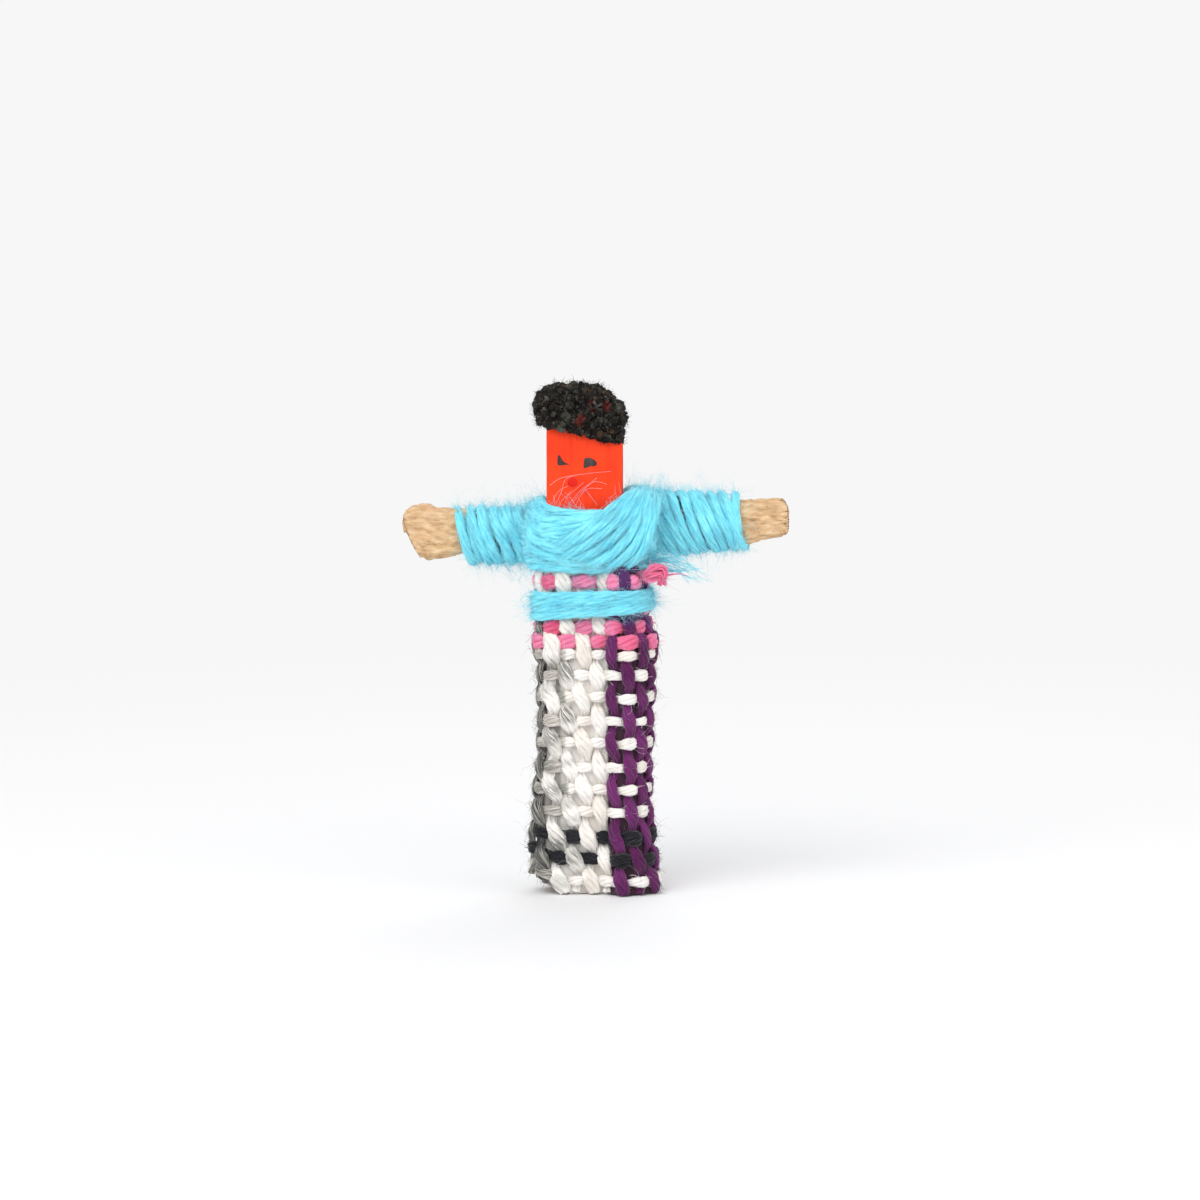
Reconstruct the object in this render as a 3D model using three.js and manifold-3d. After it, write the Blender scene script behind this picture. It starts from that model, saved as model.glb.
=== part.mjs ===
// A worry doll about one inch tall. A flat stick makes the body, and its painted upper end is the
// face, under a cap of crumbled black hair. A second stick crosses behind it as the arms. Yarn is
// wound round both as the blouse, and a strip of coarse hand-woven cloth is rolled into the skirt
// and bound with a yarn belt.
//
// Millimetres. +X is to the viewer's right, +Y to the doll's back and +Z up. While the doll is
// being made, x = 0 and y = 0 run down the middle of the body stick and z = 0 is the skirt's hem.
// At the end it is moved so that the origin lies under the middle of its box.

import * as THREE from "three";
import { mergeVertices } from "three/addons/utils/BufferGeometryUtils.js";
import Module from "manifold-3d";

const wasm = await Module();
wasm.setup();

const DEGREE = Math.PI / 180;
const QUARTER_TURN = Math.PI / 2;

// Clearances
const SEAT_GAP = 0.06; // between pieces that rest on each other
const COAT_GAP = 0.02; // between the stick, its paint and the features painted on it

// Body stick
const STICK_WIDTH = 3.7;
const STICK_DEPTH = 1.4;
const STICK_CHAMFER = 0.22;
const FOOT_RECESS = 0.8; // the stick's foot stays this far inside the hem

// Paint on the stick's upper end
const PAINT_THICKNESS = 0.1;
const PAINT_LENGTH = 6.2;

// Painted features, placed from the crown down and from the middle of the face
const FEATURE_THICKNESS = 0.06;
const EYES_BELOW_CROWN = 2.8;
const LEFT_EYE_X = -1.22;
const RIGHT_EYE_X = 0.24;
const LEFT_EYE_WIDTH = 0.62;
const RIGHT_EYE_WIDTH = 0.7;
const EYE_OPENING = 0.5;
const MOUTH_OVER_COLLAR = 0.82; // from the top of the blouse's inner layers to its middle
const MOUTH_X = -0.68;
const MOUTH_DIAMETER = 0.56;
const MOUTH_SIDES = 14;

// Hair cap
const HAIR_OVER_CROWN = 1.14;
const HAIR_ON_FACE = 0.6; // thickness in front of and behind the head
const HAIR_PAST_LEFT = 0.74;
const HAIR_PAST_RIGHT = 0.36;
const HAIR_DROP_LEFT = 1.3; // from the crown down to the hairline
const HAIR_DROP_RIGHT = 2.2;
const HAIR_LUMPINESS = 0.03; // depth of the hollows, as a share of the cap's radius
const HAIR_SQUARENESS = 0.45; // 1 is an ellipsoid, and less is boxier
const HAIR_WAVES_ROUND = 5;
const HAIR_WAVES_UP = 6;
const HAIR_WAVE_LEAN = 2; // how far the hollows wind round the cap as they rise
const HAIR_SEGMENTS = 28;
const HAIR_RINGS = 18;

// Arm stick
const ARM_LENGTH = 20.07;
const LEFT_HAND_HEIGHT = 2.8;
const RIGHT_HAND_HEIGHT = 2.3;
const ARM_DEPTH = 1.8;
const ARM_CHAMFER = 0.4;
const ARM_OVER_SKIRT = 0.53; // from the cloth's top edge to the arm's underside
const CROWN_OVER_ARM = 6.27; // from where the arm crosses the body to the stick's top
const ARM_SHIFT = 0.56; // the arm's middle is this far to the right of the body
const ARM_TILT = 1.65 * DEGREE;
const LEFT_HAND_SLANT = 1.05; // how much shorter the left hand is along its lower edge
const RIGHT_HAND_SLANT = 0.15; // how much longer the right hand is along its lower edge

// Yarn and its windings
const YARN = 0.24;
const WINDING_PITCH = 0.73; // the least from turn to turn, across the yarn
const LOOP_FACINGS = 72; // a turn looks for its rest in this many directions
const LEAST_STEP = 0.12; // rests nearer to each other than this share one point
const YARN_SIDES = 6;
const POINTS_IN_A_YARN = 4; // its gap to itself is measured this often in one thickness
const NEXT_TO_ITSELF = 4; // stretches this many thicknesses apart, or less, have no gap
const LEFT_HAND_LENGTH = 3.22; // from the arm's end to the middle of the sleeve's outer turn
const RIGHT_HAND_LENGTH = 2.71;
const SLEEVE_FROM_CORE = 0.93; // from the core's widest to the middle of the inner turn
const SLEEVE_ANGLE = -72 * DEGREE; // the slope of the sleeves' strands
const NECK_REST = 0.1; // the upper crossed strands pass this far over the arm, beside the neck
const CROSS_ANGLE = 35 * DEGREE; // the slope of the crossed strands
const UNDER_WRAP_LOOPS = 1.25; // ends on the left shoulder, once across the front
const OVER_WRAP_LOOPS = 1.75; // ends on the right shoulder, twice across the front
const CROSS_PITCH = 0.78; // from turn to turn, across the crossed strands
const LOWER_WRAP_LOOPS = 0.5; // ends at the right of the front, where its tail starts
const TAIL_LENGTH = 2.3;
const TAIL_DROP = 0.45;
const TAIL_STEPS = 6;

// Inner layers of the blouse's yarn, as one solid core
const CORE_YARN = 0.42; // their thickness in front of the body stick and behind the arm
const CORE_LEFT = 3; // from the body's middle, at the core's widest
const CORE_RIGHT = 3.1;
const CORE_OVER_ARM = 0.15;
const CORE_SQUARENESS = 0.55;
const CORE_SIDES = 28;
const CORE_LEVELS = [ // its width at shares of its height, as shares of its widest
  { up: 0, wide: 0.9 },
  { up: 0.25, wide: 0.98 },
  { up: 0.6, wide: 1 },
  { up: 0.9, wide: 0.94 },
  { up: 1, wide: 0.84 },
];

// Rolled cloth
const CLOTH = 0.6;
const SKIRT_LENGTH = 17.1;
const SKIRT_OVERLAP = 0.55; // the outer layer starts this share of a half width from the middle
const BELT_BELOW_TOP = 2.12; // from the cloth's top edge to the belt's middle
const BELT_LOOPS = 2;
const BELT_TILT = 3.8 * DEGREE;
const BELT_MARGIN = 0.25; // the drawn-in cloth runs this far past the belt
const WAIST_SLOPE = 0.3; // the height over which the cloth is drawn in
const WAIST_SQUEEZE = 0.8; // how far the belt presses the cloth together
const BODICE_SQUEEZE = 0.92;
const HEM_RISE = 1; // the hem's left corner is cut this much higher
const HEM_RISE_START = -1.14; // the cut begins here and runs out to the left
const ARC_STEPS = 7;

// Frayed ends of the pink weft at the cloth's right edge
const TUFT_LENGTH = 1.05;
const TUFT_ROOT = 0.38;
const TUFT_TIP = 0.62;
const TUFT_BELOW_TOP = 1; // below the cloth's top edge
const TUFT_FORWARD = 0.9;
const TUFT_SIDES = 10;
const TUFT_STEPS = 5;
const TUFT_SWELL = 135 * DEGREE; // how far its width goes through a sine wave

// How far the cloth stands out past its tightest roll on each side. The heights are shares of the
// way from the hem to where the belt draws the cloth in.
const SKIRT_FLARE = [
  { up: 0, left: 0.47, right: 0.88 },
  { up: 0.11, left: 0.45, right: 0.65 },
  { up: 0.35, left: 0.3, right: 0.38 },
  { up: 0.56, left: 0.02, right: 0.42 },
  { up: 0.88, left: 0.02, right: 0.58 },
  { up: 1, left: 0.26, right: 0.64 },
];
const WAIST_FLARE = { left: 0.1, right: 0.45 };
const OVER_BELT_FLARE = { left: 0.1, right: 0.3 };
const BODICE_FLARE = { left: 0.14, right: 0.18 };

// Worked out from the driving dimensions
const BELT_Z = SKIRT_LENGTH - BELT_BELOW_TOP;
const BELT_HALF_HEIGHT = (BELT_LOOPS * WINDING_PITCH) / 2 + BELT_MARGIN;
const DRAWN_IN_Z = BELT_Z - BELT_HALF_HEIGHT - WAIST_SLOPE;
const LET_OUT_Z = BELT_Z + BELT_HALF_HEIGHT + WAIST_SLOPE;
const SKIRT_STATIONS = [
  ...SKIRT_FLARE.map(({ up, left, right }) => ({ z: up * DRAWN_IN_Z, left, right, squeeze: 1 })),
  { z: BELT_Z - BELT_HALF_HEIGHT, ...WAIST_FLARE, squeeze: WAIST_SQUEEZE },
  { z: BELT_Z + BELT_HALF_HEIGHT, ...OVER_BELT_FLARE, squeeze: WAIST_SQUEEZE },
  { z: LET_OUT_Z, ...BODICE_FLARE, squeeze: BODICE_SQUEEZE },
  { z: SKIRT_LENGTH, ...BODICE_FLARE, squeeze: BODICE_SQUEEZE },
];
const ARM_Z = SKIRT_LENGTH + ARM_OVER_SKIRT + LEFT_HAND_HEIGHT / 2;
const CROWN_Z = ARM_Z + CROWN_OVER_ARM;
const CORE_TOP = ARM_Z + (LEFT_HAND_HEIGHT + RIGHT_HAND_HEIGHT) / 4 + CORE_OVER_ARM;
const HEAD_HALF_WIDTH = STICK_WIDTH / 2 + COAT_GAP + PAINT_THICKNESS;
const HEAD_HALF_DEPTH = STICK_DEPTH / 2 + COAT_GAP + PAINT_THICKNESS;
const HEAD_TOP = CROWN_Z + COAT_GAP + PAINT_THICKNESS;
const ARM_Y = HEAD_HALF_DEPTH + SEAT_GAP + ARM_DEPTH / 2;

// Finishes
const finish = (color, roughness) =>
  new THREE.MeshStandardMaterial({ color, roughness, metalness: 0 });
const bareWood = () => finish(0xd8a878, 0.85);
const facePaint = () => finish(0xfb4a24, 0.55);
const eyePaint = () => finish(0x2a2526, 0.5);
const mouthPaint = () => finish(0xe02818, 0.5);
const hairCrumb = () => finish(0x22201f, 0.95);
const blueYarn = () => finish(0x5fd0e8, 0.9);
const wovenCotton = () => finish(0xe6dedb, 0.9);
const pinkCotton = () => finish(0xe8709a, 0.9);

/** A named mesh. */
function piece(name, geometry, material) {
  const mesh = new THREE.Mesh(geometry, material);
  mesh.name = name;
  return mesh;
}

/** A closed body through rings of points that run anticlockwise seen from the last ring. */
function loft(rings, capTriangles = fan(rings[0].length)) {
  const size = rings[0].length;
  const index = [];
  for (let ring = 0; ring < rings.length - 1; ring++) {
    for (let side = 0; side < size; side++) {
      const a = ring * size + side;
      const b = ring * size + ((side + 1) % size);
      index.push(a, b, b + size, a, b + size, a + size);
    }
  }
  const last = (rings.length - 1) * size;
  for (const [a, b, c] of capTriangles) {
    index.push(c, b, a, last + a, last + b, last + c);
  }
  const positions = rings.flat().flatMap((point) => point.toArray());
  return new THREE.BufferGeometry()
    .setAttribute("position", new THREE.Float32BufferAttribute(positions, 3))
    .setIndex(index);
}

/** The triangles that close a convex ring of that many points. */
function fan(size) {
  return Array.from({ length: size - 2 }, (_, i) => [0, i + 1, i + 2]);
}

/** The edges of a loft through these rings, as pairs of points. */
function edgesOf(rings) {
  return rings.flatMap((ring, level) =>
    ring.flatMap((point, i) => {
      const beside = [point, ring[(i + 1) % ring.length]];
      return level === 0 ? [beside] : [beside, [point, rings[level - 1][i]]];
    }),
  );
}

/** The corners of a chamfered rectangle, anticlockwise, as pairs of numbers. */
function chamferedRectangle(halfWidth, halfHeight, chamfer) {
  const corners = [];
  for (const [sx, sy] of [[1, -1], [1, 1], [-1, 1], [-1, -1]]) {
    const onSide = [sx * halfWidth, sy * (halfHeight - chamfer)];
    const onEnd = [sx * (halfWidth - chamfer), sy * halfHeight];
    corners.push(...(sx === sy ? [onSide, onEnd] : [onEnd, onSide]));
  }
  return corners;
}

/** The two rings of an upright bar of chamfered section round the stick's middle. */
function uprightBar(halfWidth, halfDepth, bottom, top) {
  const section = chamferedRectangle(halfWidth, halfDepth, STICK_CHAMFER);
  return [bottom, top].map((z) => section.map(([x, y]) => new THREE.Vector3(x, y, z)));
}

/** A manifold-3d solid from a closed geometry. */
function solid(geometry) {
  const bare = geometry.clone();
  bare.deleteAttribute("normal");
  bare.deleteAttribute("uv");
  const merged = mergeVertices(bare);
  return new wasm.Manifold(
    new wasm.Mesh({
      numProp: 3,
      vertProperties: new Float32Array(merged.attributes.position.array),
      triVerts: new Uint32Array(merged.index.array),
    }),
  );
}

/** A geometry from a manifold-3d solid. */
function geometryOf(made) {
  const { numProp, vertProperties, triVerts } = made.getMesh();
  const positions = [];
  for (let i = 0; i < vertProperties.length; i += numProp) {
    positions.push(...vertProperties.subarray(i, i + 3));
  }
  return new THREE.BufferGeometry()
    .setAttribute("position", new THREE.Float32BufferAttribute(positions, 3))
    .setIndex([...triVerts]);
}

// The body stick, and the coat of paint on its upper end

const BODY_STICK_RINGS = uprightBar(STICK_WIDTH / 2, STICK_DEPTH / 2, FOOT_RECESS, CROWN_Z);
const PAINT_RINGS = uprightBar(
  HEAD_HALF_WIDTH, HEAD_HALF_DEPTH, CROWN_Z - PAINT_LENGTH, HEAD_TOP,
);

function paintCoat() {
  const inside = uprightBar(
    STICK_WIDTH / 2 + COAT_GAP,
    STICK_DEPTH / 2 + COAT_GAP,
    CROWN_Z - PAINT_LENGTH - PAINT_THICKNESS,
    CROWN_Z + COAT_GAP,
  );
  return geometryOf(solid(loft(PAINT_RINGS)).subtract(solid(loft(inside))));
}

// The painted features are flat dabs on the front of the head

/** A dab of paint in an outline that is drawn as seen from the front. */
function dab(outline, x, z) {
  const paint = new THREE.ExtrudeGeometry(outline, {
    depth: FEATURE_THICKNESS,
    bevelEnabled: false,
    curveSegments: 4,
  });
  return paint.rotateX(QUARTER_TURN).translate(x, -HEAD_HALF_DEPTH - COAT_GAP, z);
}

/** The left eye is a drop with a short tail that runs out to the right. */
function leftEyeOutline() {
  const low = -EYE_OPENING / 2;
  const high = EYE_OPENING / 2;
  const width = LEFT_EYE_WIDTH;
  return new THREE.Shape()
    .moveTo(-0.4 * width, low)
    .lineTo(0.6 * width, low)
    .quadraticCurveTo(0, 0, -0.2 * width, high)
    .quadraticCurveTo(-0.5 * width, high, -0.4 * width, low);
}

/** The right eye is a rounder, heavier drop. */
function rightEyeOutline() {
  const low = -EYE_OPENING / 2;
  const high = EYE_OPENING / 2;
  const width = RIGHT_EYE_WIDTH;
  return new THREE.Shape()
    .moveTo(-0.5 * width, low)
    .quadraticCurveTo(0.1 * width, low, 0.5 * width, 0.3 * low)
    .quadraticCurveTo(0.4 * width, 0.8 * high, 0, high)
    .quadraticCurveTo(-0.35 * width, high, -0.5 * width, low);
}

function mouthDab() {
  const radius = MOUTH_DIAMETER / 2;
  const y = -HEAD_HALF_DEPTH - COAT_GAP - FEATURE_THICKNESS / 2;
  return new THREE.CylinderGeometry(radius, radius, FEATURE_THICKNESS, MOUTH_SIDES).translate(
    MOUTH_X, y, CORE_TOP + MOUTH_OVER_COLLAR,
  );
}

// Hair: a lumpy boxy cap that fits over the painted head and ends at a slanting hairline

/** The hairline's height, which falls to the right. */
function hairlineZ(x) {
  const drop = THREE.MathUtils.mapLinear(
    x, -HEAD_HALF_WIDTH, HEAD_HALF_WIDTH, HAIR_DROP_LEFT, HAIR_DROP_RIGHT,
  );
  return HEAD_TOP - drop;
}

/** A boxy ellipsoid with shallow hollows in it. */
function hairLump(centre, radius) {
  const lump = new THREE.SphereGeometry(1, HAIR_SEGMENTS, HAIR_RINGS).rotateX(QUARTER_TURN);
  const places = lump.attributes.position;
  const place = new THREE.Vector3();
  const boxy = (share) => Math.sign(share) * Math.abs(share) ** HAIR_SQUARENESS;
  for (let i = 0; i < places.count; i++) {
    place.fromBufferAttribute(places, i);
    const round = Math.atan2(place.y, place.x);
    const up = Math.asin(THREE.MathUtils.clamp(place.z, -1, 1));
    const ridge = Math.sin(HAIR_WAVES_ROUND * round + HAIR_WAVE_LEAN * up);
    const ring = Math.cos(HAIR_WAVES_UP * up - HAIR_WAVE_LEAN * round);
    const wave = ridge * ring * Math.cos(up);
    const reach = 1 - (HAIR_LUMPINESS * (1 - wave)) / 2;
    place.set(boxy(place.x), boxy(place.y), boxy(place.z)).multiplyScalar(reach);
    place.multiply(radius).add(centre);
    places.setXYZ(i, ...place.toArray());
  }
  return lump;
}

function hairCap() {
  const left = -HEAD_HALF_WIDTH - HAIR_PAST_LEFT;
  const right = HEAD_HALF_WIDTH + HAIR_PAST_RIGHT;
  const centre = new THREE.Vector3((left + right) / 2, 0, hairlineZ(0));
  const radius = new THREE.Vector3(
    (right - left) / 2,
    HEAD_HALF_DEPTH + HAIR_ON_FACE,
    HEAD_TOP + HAIR_OVER_CROWN - centre.z,
  );
  const lump = hairLump(centre, radius);

  const far = 2 * (right - left);
  const belowHairline = [
    [left - far, hairlineZ(left - far)],
    [left - far, centre.z - 3 * far],
    [right + far, centre.z - 3 * far],
    [right + far, hairlineZ(right + far)],
  ];
  const cutter = loft(
    [far, -far].map((y) => belowHairline.map(([x, z]) => new THREE.Vector3(x, y, z))),
  );
  const socket = loft(
    uprightBar(
      HEAD_HALF_WIDTH + SEAT_GAP,
      HEAD_HALF_DEPTH + SEAT_GAP,
      CROWN_Z - PAINT_LENGTH,
      HEAD_TOP + SEAT_GAP,
    ),
  );
  return geometryOf(solid(lump).subtract(solid(cutter)).subtract(solid(socket)));
}

// The arm stick lies behind the body stick. It tapers to the right and its two ends are cut askew.

/** The rings of the arm stick, or of a bar that is thicker by a margin all round. */
function armStickRings(margin = 0) {
  const half = ARM_LENGTH / 2;
  const ends = [
    { x: -half, height: LEFT_HAND_HEIGHT, slant: LEFT_HAND_SLANT },
    { x: half, height: RIGHT_HAND_HEIGHT, slant: RIGHT_HAND_SLANT },
  ];
  const place = new THREE.Matrix4()
    .makeTranslation(ARM_SHIFT, ARM_Y, ARM_Z + ARM_SHIFT * Math.tan(ARM_TILT))
    .multiply(new THREE.Matrix4().makeRotationY(-ARM_TILT));
  return ends.map(({ x, height, slant }) =>
    chamferedRectangle(ARM_DEPTH / 2 + margin, height / 2 + margin, ARM_CHAMFER).map(([y, z]) =>
      new THREE.Vector3(x + slant * (0.5 - z / height), y, z).applyMatrix4(place),
    ),
  );
}

// The cloth is rolled one and a half times round the stick. It starts at the front right corner,
// passes behind, comes round the left side to the front, goes over its own start and ends behind.

/** The height of the cloth's cut lower edge. */
function hemZ(x) {
  const leftEdge = -STICK_WIDTH / 2 - CLOTH - SEAT_GAP - SKIRT_STATIONS[0].left;
  const share = (HEM_RISE_START - x) / (HEM_RISE_START - leftEdge);
  return HEM_RISE * THREE.MathUtils.clamp(share, 0, 1);
}

/** One ring of the cloth: its outer face from start to end, and its inner face back again. */
function clothRing({ z, left, right, squeeze }) {
  const half = STICK_WIDTH / 2;
  const thick = CLOTH * squeeze;
  const inner = SEAT_GAP + thick / 2;
  const outer = inner + thick + SEAT_GAP;
  const turns = [];
  const turn = (middle, layer, out, from, to) => {
    for (let step = 0; step <= ARC_STEPS; step++) {
      const angle = THREE.MathUtils.lerp(from, to, step / ARC_STEPS);
      turns.push({ middle, layer, out: layer + out, angle });
    }
  };
  const flat = (middle, layer, angle) => turns.push({ middle, layer, out: 0, angle });
  turn(half, inner, 0, -QUARTER_TURN, QUARTER_TURN);
  flat(HEM_RISE_START, inner, QUARTER_TURN);
  turn(-half, inner, left, QUARTER_TURN, 3 * QUARTER_TURN);
  flat(HEM_RISE_START, inner, 3 * QUARTER_TURN);
  flat(half * (1 - SKIRT_OVERLAP), inner, 3 * QUARTER_TURN);
  turn(half, outer, right, -QUARTER_TURN, QUARTER_TURN);
  flat(HEM_RISE_START, outer, QUARTER_TURN);
  flat(-half, outer, QUARTER_TURN);
  const face = (side) =>
    turns.map(({ middle, layer, out, angle }) => {
      const reach = out === 0 ? 0 : out + (side * thick) / 2;
      const x = middle + reach * Math.cos(angle);
      const y = (STICK_DEPTH / 2 + layer + (side * thick) / 2) * Math.sin(angle);
      return new THREE.Vector3(x, y, z === 0 ? hemZ(x) : z);
    });
  return [...face(1), ...face(-1).reverse()];
}

/** The triangles that close the strip of cloth between its two faces. */
function stripCap(ring) {
  const places = ring.length / 2;
  return Array.from({ length: places - 1 }, (_, i) => {
    const opposite = ring.length - 1 - i;
    return [[i, i + 1, opposite], [i + 1, opposite - 1, opposite]];
  }).flat();
}

// The inner layers of the blouse fill the cross between the two sticks. They are drawn in towards
// the cloth below and the neck above.

function coreRings() {
  const front = -HEAD_HALF_DEPTH - CORE_YARN;
  const back = ARM_Y + ARM_DEPTH / 2 + CORE_YARN;
  const clothBack = STICK_DEPTH / 2 + 2 * (CLOTH * BODICE_SQUEEZE + SEAT_GAP);
  const bottom = SKIRT_LENGTH + SEAT_GAP;
  const boxy = (share) => Math.sign(share) * Math.abs(share) ** CORE_SQUARENESS;
  return CORE_LEVELS.map(({ up, wide }) =>
    Array.from({ length: CORE_SIDES }, (_, side) => {
      const angle = (2 * Math.PI * side) / CORE_SIDES;
      const across = boxy(Math.cos(angle));
      const deep = boxy(Math.sin(angle));
      const x = across * wide * (across > 0 ? CORE_RIGHT : CORE_LEFT);
      const y = THREE.MathUtils.mapLinear(deep, -1, 1, front, up === 0 ? clothBack : back);
      return new THREE.Vector3(x, y, THREE.MathUtils.lerp(bottom, CORE_TOP, up));
    }),
  );
}

/** The core has a passage for the body stick and one for the arm stick. */
function yarnCore(rings) {
  const bodyPassage = uprightBar(
    HEAD_HALF_WIDTH + SEAT_GAP, HEAD_HALF_DEPTH + SEAT_GAP, FOOT_RECESS, HEAD_TOP,
  );
  const armPassage = armStickRings(SEAT_GAP);
  return geometryOf(
    solid(loft(rings)).subtract(solid(loft(bodyPassage))).subtract(solid(loft(armPassage))),
  );
}

// Windings. A turn of yarn lies in a plane that cuts everything it goes round. At each step it
// rests on the point of that cut that lies furthest out in the direction it then faces.

/** Where a plane through (x, z), rising at an angle, cuts the edges: along the plane, and y. */
function cutPoints(edges, { x, z, angle }) {
  const along = (point) => (point.x - x) * Math.cos(angle) + (point.z - z) * Math.sin(angle);
  const above = (point) => (point.z - z) * Math.cos(angle) - (point.x - x) * Math.sin(angle);
  const found = [];
  for (const [a, b] of edges) {
    const heightA = above(a);
    const heightB = above(b);
    if (heightA * heightB < 0) {
      const point = a.clone().lerp(b, heightA / (heightA - heightB));
      found.push(new THREE.Vector2(along(point), point.y));
    }
  }
  return found;
}

/**
 * Points along a winding, whose plane moves steadily from one place to another. It starts and
 * ends with the straight run behind what it goes round. Where its plane meets the sides of that
 * askew, at the angle called meeting, it stands off further in the plane.
 */
function windingRoute({ from, to, loops, edges, meeting = QUARTER_TURN }) {
  const steps = Math.round(loops * LOOP_FACINGS) + 1;
  const rests = Array.from({ length: steps + 1 }, (_, step) => {
    const plane = {
      x: THREE.MathUtils.lerp(from.x, to.x, step / steps),
      z: THREE.MathUtils.lerp(from.z, to.z, step / steps),
      angle: THREE.MathUtils.lerp(from.angle, to.angle, step / steps),
    };
    const facing = QUARTER_TURN + ((step - 0.5) / LOOP_FACINGS) * 2 * Math.PI;
    const outward = new THREE.Vector2(Math.cos(facing), Math.sin(facing));
    const rest = cutPoints(edges, plane).reduce((furthest, point) =>
      point.dot(outward) > furthest.dot(outward) ? point : furthest,
    );
    outward.x /= Math.sin(meeting);
    const middle = rest.clone().addScaledVector(outward, SEAT_GAP + YARN / 2);
    return new THREE.Vector3(
      plane.x + middle.x * Math.cos(plane.angle),
      middle.y,
      plane.z + middle.x * Math.sin(plane.angle),
    );
  });
  const end = rests.pop();
  const kept = rests.filter((rest) => rest.distanceTo(end) >= LEAST_STEP).reduce(
    (route, rest) =>
      route.length === 0 || rest.distanceTo(route.at(-1)) >= LEAST_STEP
        ? [...route, rest]
        : route,
    [],
  );
  return [...kept, end];
}

/** The rings of a tube with flat ends along a line of points. */
function tubeRings(points, sides, radiusAt) {
  let normal = new THREE.Vector3(0, 0, 1);
  return points.map((point, i) => {
    const before = points[Math.max(i - 1, 0)];
    const after = points[Math.min(i + 1, points.length - 1)];
    const tangent = after.clone().sub(before).normalize();
    normal = normal.clone().addScaledVector(tangent, -normal.dot(tangent)).normalize();
    const second = tangent.clone().cross(normal);
    const radius = radiusAt(i / (points.length - 1));
    return Array.from({ length: sides }, (_, side) => {
      const angle = (2 * Math.PI * side) / sides;
      return point
        .clone()
        .addScaledVector(normal, radius * Math.cos(angle))
        .addScaledVector(second, radius * Math.sin(angle));
    });
  });
}

/** Prints how near a yarn comes to itself, measured between points on its middle line. */
function reportLeastGap(name, route) {
  const line = new THREE.CurvePath();
  route.slice(1).forEach((point, i) => line.add(new THREE.LineCurve3(route[i], point)));
  const count = Math.ceil((POINTS_IN_A_YARN * line.getLength()) / YARN);
  const points = Array.from({ length: count + 1 }, (_, i) => line.getPoint(i / count));
  let least = Infinity;
  points.forEach((a, i) => {
    for (const b of points.slice(i + NEXT_TO_ITSELF * POINTS_IN_A_YARN)) {
      least = Math.min(least, a.distanceTo(b) - YARN);
    }
  });
  console.log(`${name}: least gap to itself ${least.toFixed(2)} mm`);
}

/** A winding's mesh, with the edges of its turns, so that a later winding can pass over them. */
function winding(name, turns, tail = []) {
  const route = [...turns, ...tail];
  reportLeastGap(name, route);
  const rings = tubeRings(route, YARN_SIDES, () => YARN / 2);
  const mesh = piece(name, loft(rings), blueYarn());
  return { mesh, edges: edgesOf(rings.slice(0, turns.length)) };
}

/** The plane of a turn round the arm, that far along it from the body's middle. */
function armPlane(along) {
  return { x: along, z: ARM_Z + along * Math.tan(ARM_TILT), angle: SLEEVE_ANGLE + ARM_TILT };
}

/** A sleeve runs from its outer turn, beside the hand, in to the core's side. */
function sleeveRoute({ side, hand, core, edges }) {
  const outer = ARM_LENGTH / 2 + side * ARM_SHIFT - hand;
  const inner = core + SLEEVE_FROM_CORE;
  const across = (outer - inner) * Math.sin(Math.abs(SLEEVE_ANGLE));
  const loops = Math.max(1, Math.floor(across / WINDING_PITCH));
  return windingRoute({
    from: armPlane(side * outer),
    to: armPlane(side * inner),
    loops,
    edges,
    meeting: Math.abs(SLEEVE_ANGLE),
  });
}

/**
 * Crossed strands rise towards one side. They first cross the front beside the neck, and drop by
 * a pitch a turn.
 */
function crossedRoute(side, loops, edges) {
  const angle = side * CROSS_ANGLE;
  const armHeight = (LEFT_HAND_HEIGHT + RIGHT_HAND_HEIGHT) / 2;
  const neckZ = ARM_Z + armHeight / 2 + NECK_REST;
  const drop = CROSS_PITCH / Math.cos(angle);
  const z = neckZ - HEAD_HALF_WIDTH * Math.tan(CROSS_ANGLE) + drop / 2;
  return windingRoute({
    from: { x: 0, z, angle },
    to: { x: 0, z: z - loops * drop, angle },
    loops,
    edges,
    meeting: CROSS_ANGLE,
  });
}

/** The lower wrap binds the cloth's top to the stick. */
function lowerWrapRoute(edges) {
  const plane = { x: 0, z: SKIRT_LENGTH - YARN / 2 - SEAT_GAP, angle: 0 };
  return windingRoute({ from: plane, to: plane, loops: LOWER_WRAP_LOOPS, edges });
}

/** A loose tail goes on from the end of some turns and falls off to the right. */
function looseTail(turns) {
  const end = turns.at(-1);
  const onward = end.clone().sub(turns.at(-2)).setLength(TAIL_LENGTH / 2);
  const tail = new THREE.QuadraticBezierCurve3(
    end,
    end.clone().add(onward),
    end.clone().add(onward).add(new THREE.Vector3(TAIL_LENGTH / 2, 0, -TAIL_DROP)),
  );
  return tail.getPoints(TAIL_STEPS).slice(1);
}

function beltRoute(edges) {
  const rise = (BELT_LOOPS * WINDING_PITCH) / 2 / Math.cos(BELT_TILT);
  return windingRoute({
    from: { x: 0, z: BELT_Z - rise, angle: BELT_TILT },
    to: { x: 0, z: BELT_Z + rise, angle: BELT_TILT },
    loops: BELT_LOOPS,
    edges,
  });
}

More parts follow.
